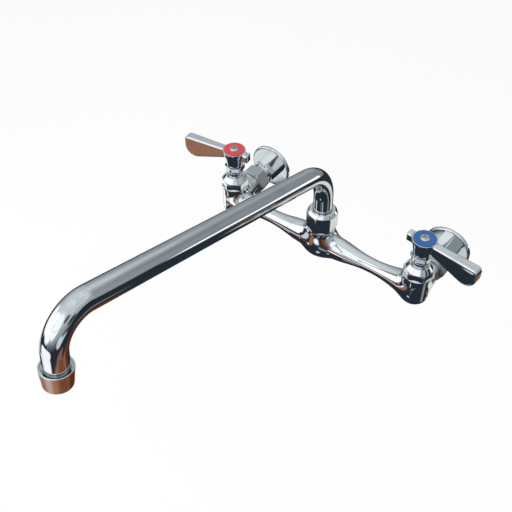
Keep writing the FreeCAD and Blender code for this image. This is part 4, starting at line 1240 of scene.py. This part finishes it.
@dataclass
class Spout:
    """The swinging spout: bent tube, swivel nut and outlet collar."""

    finishes: Finishes
    tube_radius: float = 8.9
    tube_start: float = 30.35
    tube_crease: float = 40.0
    riser_top: float = 52.3
    elbow_radius: float = 41.0
    rise: float = 16.1
    bend_radius: float = 25.0
    lean: float = 7.5
    drop: float = 17.4
    reach: float = 305.4
    nut_flats: float = 25.4
    nut_turn: float = 33.5
    nut_bottom: float = 16.3
    nut_height: float = 22.4
    nut_foot_height: float = 1.6
    nut_foot_radius: float = 13.4
    nut_core_radius: float = 11.0
    shoulder_radius: float = 14.05
    shoulder_top_radius: float = 11.6
    shoulder_depth: float = 3.7
    land: float = 0.4
    gap_inner: float = 9.25
    gap_outer: float = 9.95
    gap_depth: float = 1.6
    collar_top_radius: float = 11.6
    collar_bottom_radius: float = 10.2
    collar_above: float = 5.0
    collar_below: float = 10.0
    collar_recess: float = 1.6
    collar_recess_radius: float = 10.4
    lip_radius: float = 8.0
    lip_height: float = 1.2
    bore_radius: float = 9.52

    def corners(self) -> list[tuple[float, float]]:
        """Works out the corners of the tube's middle line.

        Returns:
            The reach outward and the height of each corner, from the nut to the outlet.
        """
        rise, lean = math.radians(self.rise), math.radians(self.lean)
        elbow_turn = math.pi / 2 - rise
        bend_turn = rise + math.pi / 2 - lean
        elbow = (0.0, self.riser_top + self.elbow_radius * math.tan(elbow_turn / 2))
        back = self.drop + self.bend_radius * math.tan(bend_turn / 2)
        bend_out = self.reach - back * math.sin(lean)
        bend = (bend_out, elbow[1] + bend_out * math.tan(rise))
        end = (self.reach, bend[1] - back * math.cos(lean))
        return [(0.0, self.tube_start), elbow, bend, end]

    def tree(self) -> NodeTree:
        """Builds the node tree that bends the route and draws the tube along it.

        Returns:
            The tree.
        """
        tree = start_tree("bent_tube", "Route", ("Tube radius", "Elbow radius", "Outlet bend radius"))
        add = partial(add_node, tree)
        given = add("NodeGroupInput").outputs
        index = add("GeometryNodeInputIndex")
        is_elbow = add("FunctionNodeCompare", {2: index, 3: 1}, data_type="INT", operation="EQUAL")
        radius = add(
            "GeometryNodeSwitch",
            {"Switch": is_elbow, "False": given["Outlet bend radius"], "True": given["Elbow radius"]},
            input_type="FLOAT",
        )
        bent = add(
            "GeometryNodeFilletCurve", {"Curve": given["Route"], "Radius": radius, "Count": 56}, mode="POLY"
        )
        ring = add(
            "GeometryNodeCurvePrimitiveCircle",
            {"Resolution": 128, "Radius": given["Tube radius"]}, mode="RADIUS",
        )
        skin = add("GeometryNodeCurveToMesh", {"Curve": bent, "Profile Curve": ring, "Fill Caps": True})
        end_tree(tree, skin, given["Finish"])
        return tree

    def build_tube(self, axis: Vector) -> None:
        """Makes the bent tube.

        Args:
            axis: Where the spout turns.
        """
        curve = bpy.data.curves.new("spout_route", "CURVE")
        curve.dimensions = "3D"
        spline = curve.splines.new("POLY")
        corners = self.corners()
        spline.points.add(len(corners) - 1)
        for point, (out, up) in zip(spline.points, corners):
            point.co = (axis.x * MM, (axis.y - out) * MM, up * MM, 1.0)
        sizes = {
            "Tube radius": self.tube_radius * MM,
            "Elbow radius": self.elbow_radius * MM,
            "Outlet bend radius": self.bend_radius * MM,
            "Finish": self.finishes.tube,
        }
        piece = grown("bent_tube", curve, self.tree(), sizes)
        piece.data.set_sharp_from_angle(angle=math.radians(self.tube_crease))
        hand_over(piece, "spout_tube", "spout")

    def build_nut(self, axis: Vector) -> None:
        """Makes the swivel nut: foot ring, hexagon, conical shoulder and a gap round the tube.

        Args:
            axis: Where the spout turns.
        """
        top = self.nut_bottom + self.nut_height
        foot_top = self.nut_bottom + self.nut_foot_height
        shoulder, gap_floor = top - self.shoulder_depth, top - self.gap_depth
        hexagon = Hexagon(self.nut_flats, self.nut_turn)
        corner = hexagon.past(0.2)
        hole = self.tube_radius + 0.15
        nut = [
            (hole, foot_top + 12.0, 0.0),
            (self.nut_core_radius, foot_top, 0.0),
            (corner, foot_top, 0.5),
            (corner, shoulder, 0.4),
            (self.gap_outer, shoulder, 0.0),
            (self.gap_outer, gap_floor, 0.0),
            (self.gap_inner, gap_floor, 0.0),
            (self.gap_inner, top - self.land, 0.35),
            (hole, top - self.land, 0.3),
        ]
        cone = [
            (self.gap_outer, shoulder - 0.6, 0.0),
            (self.shoulder_radius - 1.0, shoulder - 0.6, 0.3),
            (self.shoulder_radius, shoulder, 0.8),
            (self.shoulder_top_radius, top, 0.9),
            (self.gap_outer, top, 0.25),
        ]
        foot = [
            (self.nut_core_radius, self.nut_bottom, 0.0),
            (self.nut_foot_radius, self.nut_bottom, 0.3),
            (self.nut_foot_radius, foot_top, 0.5),
            (self.nut_core_radius, foot_top, 0.0),
        ]
        matrix = upright(axis)
        shells = [lathe(nut, matrix, 8, hexagon=hexagon), lathe(cone, matrix, 10), lathe(foot, matrix)]
        make_piece("swivel_hexagon", shells, self.finishes.turned, "swivel_nut")

    def build_collar(self, axis: Vector) -> None:
        """Makes the outlet collar, open at the top round the tube.

        Args:
            axis: Where the spout turns.
        """
        out, up = self.corners()[-1]
        place = Matrix.Translation((axis.x, axis.y - out, up))
        matrix = place @ Matrix.Rotation(math.radians(180 - self.lean), 4, "X")
        top, bottom = -self.collar_above, self.collar_below
        floor, lip = top + self.collar_recess, bottom - self.lip_height
        collar = [
            (self.lip_radius, bottom, 0.3),
            (self.lip_radius, lip, 0.0),
            (self.bore_radius, lip, 0.0),
            (self.bore_radius, floor, 0.2),
            (self.collar_recess_radius, floor, 0.2),
            (self.collar_recess_radius, top, 0.35),
            (self.collar_top_radius, top, 0.4),
            (self.collar_bottom_radius, bottom, 0.6),
        ]
        shell = lathe(collar, matrix, segments=144)
        make_piece("outlet_collar", [shell], self.finishes.turned, "aerator_housing", "spout")

    def build(self) -> None:
        """Makes the tube, the nut and the collar."""
        axis = joint_place("spout_swing")
        self.build_tube(axis)
        self.build_nut(axis)
        self.build_collar(axis)


@dataclass
class InnerPieces:
    """The pieces inside, which keep their own meshes and get their real finish."""

    finishes: Finishes

    def build(self) -> None:
        """Dresses every node that is not replaced."""
        chosen = self.finishes
        groups = (
            (chosen.rubber, "union_washer cartridge_seal seat_seal stem_seal spout_seals aerator_washer"),
            (chosen.ceramic, "fixed_disc moving_disc"),
            (chosen.brass, "valve_stem spout_ferrule"),
            (chosen.turned, "outlet_sleeve"),
            (chosen.nylon, "swivel_washer aerator_insert"),
            (chosen.steel, "aerator_screen"),
        )
        kinds = {stem: finish for finish, stems in groups for stem in stems.split()}
        for name, node in frame["nodes"].items():
            if node.hide_render:
                continue
            finish = kinds[name.removesuffix("_hot").removesuffix("_cold")]
            node.data.materials.clear()
            node.data.materials.append(finish)
            LOG.info("%s is dressed in %s", name, finish.name)


@dataclass(frozen=True)
class Patch:
    """A soft round patch of the surroundings, seen in the chrome. Azimuth 0 is +Y and 90 is +X."""

    azimuth: float
    elevation: float
    inner: float
    outer: float
    colour: str

    def direction(self) -> tuple[float, float, float]:
        """Returns the patch's middle as a direction."""
        turn, rise = math.radians(self.azimuth), math.radians(self.elevation)
        return (math.sin(turn) * math.cos(rise), math.cos(turn) * math.cos(rise), math.sin(rise))


@dataclass(frozen=True)
class Pool:
    """A soft round pool of colour, whole inside the inner radius and gone past the outer one."""

    across: float
    deep: float
    inner: float
    outer: float
    colour: str


@dataclass(frozen=True)
class Card:
    """A level card that only the chrome sees: a ground and further pools on it."""

    name: str
    level: float
    ground: Pool
    pools: tuple[Pool, ...] = ()
    grain_length: float = 60.0
    grain_width: float = 5.0
    grain_depth: float = 0.35

    def share(self, tree: NodeTree, place: Socket, pool: Pool) -> Node:
        """Adds the nodes that say how much of a pool is at a place.

        Args:
            tree: The tree that gets the nodes.
            place: Where the share is looked up.
            pool: The pool.

        Returns:
            The node that gives the share.
        """
        middle = (pool.across * MM, pool.deep * MM, self.level * MM)
        away = add_node(tree, "ShaderNodeVectorMath", {0: place, 1: middle}, operation="DISTANCE")
        ends = {"From Min": pool.outer * MM, "From Max": pool.inner * MM}
        return add_node(
            tree, "ShaderNodeMapRange", {"Value": away.outputs["Value"], **ends},
            interpolation_type="SMOOTHSTEP",
        )

    def build(self, brightness: float, count: int = 64) -> None:
        """Lays the card.

        Args:
            brightness: How bright white is on the card.
            count: How many corners the card has.
        """
        ground = self.ground
        ring = []
        for turn in (2 * math.pi * step / count for step in range(count)):
            across = (ground.across + ground.outer * math.cos(turn)) * MM
            ring.append((across, (ground.deep + ground.outer * math.sin(turn)) * MM, self.level * MM))
        mesh = bpy.data.meshes.new(self.name)
        mesh.from_pydata(ring, [], [tuple(range(count))])
        material = new_material(f"lit_{self.name}")
        tree = material.node_tree
        add = partial(add_node, tree)
        tree.nodes.remove(tree.nodes["Principled BSDF"])
        place = add("ShaderNodeTexCoord").outputs["Object"]
        colour: object = linear(ground.colour)
        for pool in self.pools:
            shades = {0: self.share(tree, place, pool), 6: colour, 7: linear(pool.colour)}
            colour = add("ShaderNodeMix", shades, data_type="RGBA").outputs[2]
        grain = (1 / (self.grain_width * MM), 1 / (self.grain_length * MM), 1.0)
        lines = add("ShaderNodeVectorMath", {0: place, 1: grain}, operation="MULTIPLY")
        strength = wavering(tree, lines, brightness, self.grain_depth)
        glow = add("ShaderNodeEmission", {"Color": colour, "Strength": strength})
        clear = add("ShaderNodeBsdfTransparent")
        mixed = add("ShaderNodeMixShader", {0: self.share(tree, place, ground), 1: clear, 2: glow})
        feed(tree.nodes["Material Output"], {"Surface": mixed})
        mesh.materials.append(material)
        card = new_object(self.name, mesh)
        card.visible_camera = False
        card.visible_diffuse = False
        card.visible_shadow = False


def wavering(tree: NodeTree, place: Node, middle: float, depth: float) -> Node:
    """Lets a brightness waver like that of a furnished room.

    Args:
        tree: The tree that gets the nodes.
        place: Where the brightness is looked up.
        middle: The brightness that it wavers around.
        depth: The share of that brightness that it wavers by.

    Returns:
        The node that gives the brightness.
    """
    noise = add_node(
        tree, "ShaderNodeTexNoise", {"Vector": place, "Scale": 1.0, "Detail": 5.0, "Roughness": 0.6}
    )
    ends = {"To Min": middle * (1 - depth / 2), "To Max": middle * (1 + depth / 2)}
    return add_node(tree, "ShaderNodeMapRange", {"Value": noise, "From Min": 0.3, "From Max": 0.7, **ends})


@dataclass(frozen=True)
class Lamp:
    """A soft square lamp that the chrome doesn't see."""

    name: str
    place: tuple[float, float, float]
    size: float
    power: float
    colour: str
    target: tuple[float, float, float] = (0.0, -150.0, 0.0)

    def build(self) -> None:
        """Hangs the lamp."""
        data = bpy.data.lights.new(self.name, "AREA")
        data.size = self.size * MM
        data.energy = self.power
        data.color = linear(self.colour)[:3]
        lamp = new_object(self.name, data)
        lamp.visible_glossy = False
        spot = Vector(self.place) * MM
        aim = (Vector(self.target) * MM - spot).to_track_quat("-Z", "Y")
        lamp.matrix_world = Matrix.Translation(spot) @ aim.to_matrix().to_4x4()


@dataclass
class Studio:
    """Camera, floor, lamps and the soft surroundings that the chrome mirrors."""

    azimuth: float = 37.3
    elevation: float = 45.5
    roll: float = -0.5
    distance: float = 832.4
    target: tuple[float, float, float] = (-76.8, -61.5, -70.45)
    focal_pixels: float = 792.5
    image_width: float = 512.0
    sensor: float = 36.0
    floor_level: float = -400.0
    floor_size: float = 9000.0
    floor_white: float = 0.88
    surroundings: float = 1.5
    # How finely the mirrored room wavers along X, Y and Z
    shelves: tuple[float, float, float] = (3.0, 3.0, 11.0)
    shelf_depth: float = 0.4
    soft_light: float = 0.55
    # The sine of the angle above the horizon, and the colour that the chrome mirrors there
    sky: tuple[tuple[float, str], ...] = (
        (-1.0, "#16191D"),
        (-0.45, "#1E2329"),
        (-0.22, "#3A4046"),
        (-0.04, "#6B7276"),
        (0.1, "#8F969A"),
        (0.35, "#9DA4A8"),
        (0.6, "#B4BCBF"),
        (1.0, "#C4CBCE"),
    )
    patches: tuple[Patch, ...] = (
        Patch(-145.0, -22.0, 22.0, 30.0, "#232A33"),
        Patch(-150.0, 27.0, 26.0, 36.0, "#FFFFFF"),
        Patch(-112.0, 14.0, 16.0, 26.0, "#FDFEFF"),
        Patch(168.0, 38.0, 22.0, 34.0, "#F2F5F6"),
        Patch(18.0, 10.0, 16.0, 38.0, "#7D8387"),
        Patch(-35.0, 3.0, 8.0, 20.0, "#868D92"),
        Patch(47.0, -22.0, 14.0, 18.0, "#15181B"),
        Patch(70.0, -9.0, 15.0, 19.0, "#1E2023"),
        Patch(92.0, 9.0, 7.0, 10.0, "#2B2D31"),
        Patch(112.0, 36.0, 7.0, 11.0, "#4B5056"),
        Patch(118.0, -13.0, 9.0, 14.0, "#C3CBD2"),
        Patch(102.0, -20.0, 6.0, 9.0, "#C3CBD2"),
        Patch(31.0, -6.0, 6.0, 9.0, "#FFFFFF"),
        Patch(43.0, -8.0, 4.0, 7.0, "#FFFFFF"),
    )
    cards: tuple[Card, ...] = (
        Card(
            "room_floor", -396.0, Pool(0.0, 0.0, 1900.0, 2600.0, "#232A33"),
            (
                Pool(290.0, 350.0, 115.0, 180.0, "#CFCFC3"),
                Pool(20.0, 330.0, 60.0, 115.0, "#BDBDB3"),
                Pool(500.0, -20.0, 40.0, 100.0, "#83847E"),
                Pool(620.0, -520.0, 190.0, 250.0, "#7E5A48"),
                Pool(120.0, -650.0, 70.0, 140.0, "#7A8791"),
                Pool(-200.0, -1060.0, 280.0, 380.0, "#F4F6F8"),
                Pool(-560.0, -780.0, 120.0, 190.0, "#E4E2E4"),
                Pool(-800.0, -430.0, 150.0, 260.0, "#BFC5C9"),
                Pool(-750.0, 520.0, 200.0, 330.0, "#A4ADB2"),
                Pool(-600.0, -110.0, 75.0, 140.0, "#DDE0E0"),
                Pool(-620.0, 30.0, 100.0, 170.0, "#F4F6F6"),
                Pool(-470.0, -335.0, 50.0, 90.0, "#4E3A32"),
                Pool(-320.0, -490.0, 40.0, 80.0, "#54403A"),
                Pool(-382.0, -618.0, 112.0, 142.0, "#8F6550"),
                Pool(230.0, -494.0, 14.0, 24.0, "#B9C1C6"),
                Pool(262.0, -478.0, 14.0, 24.0, "#AEB7BC"),
                Pool(-391.0, -405.0, 42.0, 58.0, "#CED6D6"),
                Pool(-22.0, -402.0, 36.0, 50.0, "#B4BEC3"),
                Pool(560.0, 470.0, 15.0, 60.0, "#8A99A5"),
            ),
        ),
        Card(
            "outlet_card", -60.0, Pool(30.0, -405.0, 175.0, 190.0, "#94674F"),
            (
                Pool(-50.0, -560.0, 30.0, 120.0, "#B59B92"),
                Pool(150.0, -390.0, 50.0, 130.0, "#734631"),
                Pool(50.0, -235.0, 50.0, 130.0, "#532B19"),
            ),
        ),
        Card("window_card", -60.0, Pool(-190.0, -930.0, 320.0, 380.0, "#F4F6F8")),
        Card("bench_card", -60.0, Pool(700.0, -600.0, 200.0, 250.0, "#BCC5CC")),
        Card("lever_card", -60.0, Pool(192.0, 50.0, 30.0, 45.0, "#8A5F4A")),
    )
    lamps: tuple[Lamp, ...] = (
        Lamp("window_lamp", (-900.0, -1100.0, 900.0), 700.0, 16.0, "#FFFFFF"),
        Lamp("top_lamp", (250.0, -150.0, 1300.0), 800.0, 9.0, "#FFFDF8"),
    )

    def build(self) -> None:
        """Sets up everything around the tap."""
        self.place_camera()
        self.lay_floor()
        for card in self.cards:
            card.build(self.surroundings)
        self.set_world()
        for lamp in self.lamps:
            lamp.build()
        bpy.context.scene.view_settings.view_transform = "Standard"

    def place_camera(self) -> None:
        """Places the camera at the photograph's angle."""
        turn, rise = math.radians(self.azimuth), math.radians(self.elevation)
        back = Vector((math.sin(turn) * math.cos(rise), -math.cos(turn) * math.cos(rise), math.sin(rise)))
        data = bpy.data.cameras.new("photo_camera")
        data.sensor_width = self.sensor
        data.lens = self.focal_pixels / self.image_width * self.sensor
        data.clip_start = 0.01
        data.clip_end = 50.0
        camera = new_object("photo_camera", data)
        aim = (-back).to_track_quat("-Z", "Y").to_matrix().to_4x4()
        place = Matrix.Translation((Vector(self.target) + back * self.distance) * MM)
        camera.matrix_world = place @ aim @ Matrix.Rotation(math.radians(self.roll), 4, "Z")
        bpy.context.scene.camera = camera

    def lay_floor(self) -> None:
        """Lays the pale floor, which is white to the eye and still takes a shadow."""
        half = self.floor_size / 2 * MM
        signs = ((-1, -1), (1, -1), (1, 1), (-1, 1))
        corners = [(x * half, y * half, self.floor_level * MM) for x, y in signs]
        mesh = bpy.data.meshes.new("floor")
        mesh.from_pydata(corners, [], [(0, 1, 2, 3)])
        material = new_material("matt_white_paper")
        tree = material.node_tree
        add = partial(add_node, tree)
        paper = tree.nodes["Principled BSDF"]
        feed(paper, {"Base Color": linear("#F2F2F0"), "Roughness": 0.9})
        glow = add("ShaderNodeEmission", {"Color": linear("#FFFFFF")})
        path = add("ShaderNodeLightPath").outputs
        seen = add("ShaderNodeMath", {0: path["Is Camera Ray"], 1: path["Is Glossy Ray"]}, operation="ADD")
        seen = add(
            "ShaderNodeMath", {0: seen, 1: path["Is Transmission Ray"]}, operation="ADD", use_clamp=True
        )
        share = add("ShaderNodeMath", {0: seen, 1: self.floor_white}, operation="MULTIPLY")
        mixed = add("ShaderNodeMixShader", {0: share, 1: paper, 2: glow})
        feed(tree.nodes["Material Output"], {"Surface": mixed})
        mesh.materials.append(material)
        floor = new_object("floor", mesh)
        floor.visible_glossy = False

    def set_world(self) -> None:
        """Sets the white studio and the surroundings that mirror surfaces show."""
        world = bpy.data.worlds.new("studio")
        bpy.context.scene.world = world
        world.use_nodes = True
        tree = world.node_tree
        add = partial(add_node, tree)
        direction = add("ShaderNodeTexCoord").outputs["Generated"]
        direction = add("ShaderNodeVectorMath", {0: direction}, operation="NORMALIZE")
        height = add("ShaderNodeSeparateXYZ", {0: direction}).outputs["Z"]
        share = add("ShaderNodeMapRange", {"Value": height, "From Min": -1.0})
        ramp = add("ShaderNodeValToRGB", {0: share})
        stops = ramp.color_ramp.elements
        while len(stops) < len(self.sky):
            stops.new(0.5)
        for stop, (level, code) in zip(stops, self.sky):
            stop.position = (level + 1) / 2
            stop.color = linear(code)
        colour = ramp.outputs["Color"]
        for patch in self.patches:
            toward = add(
                "ShaderNodeVectorMath", {0: direction, 1: patch.direction()}, operation="DOT_PRODUCT"
            ).outputs["Value"]
            outer, inner = (math.cos(math.radians(angle)) for angle in (patch.outer, patch.inner))
            share = add(
                "ShaderNodeMapRange", {"Value": toward, "From Min": outer, "From Max": inner},
                interpolation_type="SMOOTHSTEP",
            )
            shades = {0: share, 6: colour, 7: linear(patch.colour)}
            colour = add("ShaderNodeMix", shades, data_type="RGBA").outputs[2]
        shelves = add("ShaderNodeVectorMath", {0: direction, 1: self.shelves}, operation="MULTIPLY")
        strength = wavering(tree, shelves, self.surroundings, self.shelf_depth)
        mirror = add("ShaderNodeBackground", {"Color": colour, "Strength": strength})
        white = add("ShaderNodeBackground", {"Color": linear("#FFFFFF")})
        soft = add("ShaderNodeBackground", {"Color": linear("#F4F7FA"), "Strength": self.soft_light})
        path = add("ShaderNodeLightPath").outputs
        plain = add("ShaderNodeMixShader", {0: path["Is Camera Ray"], 1: soft, 2: white})
        mixed = add("ShaderNodeMixShader", {0: path["Is Glossy Ray"], 1: plain, 2: mirror})
        feed(tree.nodes["World Output"], {"Surface": mixed})


def main() -> None:
    """Builds the studio and the tap, sub-assembly by sub-assembly."""
    logging.basicConfig(level=logging.INFO, format="%(message)s")
    Studio().build()
    finishes = Finishes()
    hot, cold = (stem_place(water) for water in Water)
    Casting(finishes, joint_place("spout_swing"), (cold.x - hot.x) / 2).build()
    for water in Water:
        WallCoupling(finishes, water).build()
        Valve(finishes, water).build()
    Handles(finishes).build()
    Spout(finishes).build()
    InnerPieces(finishes).build()


if __name__ == "__main__":
    main()
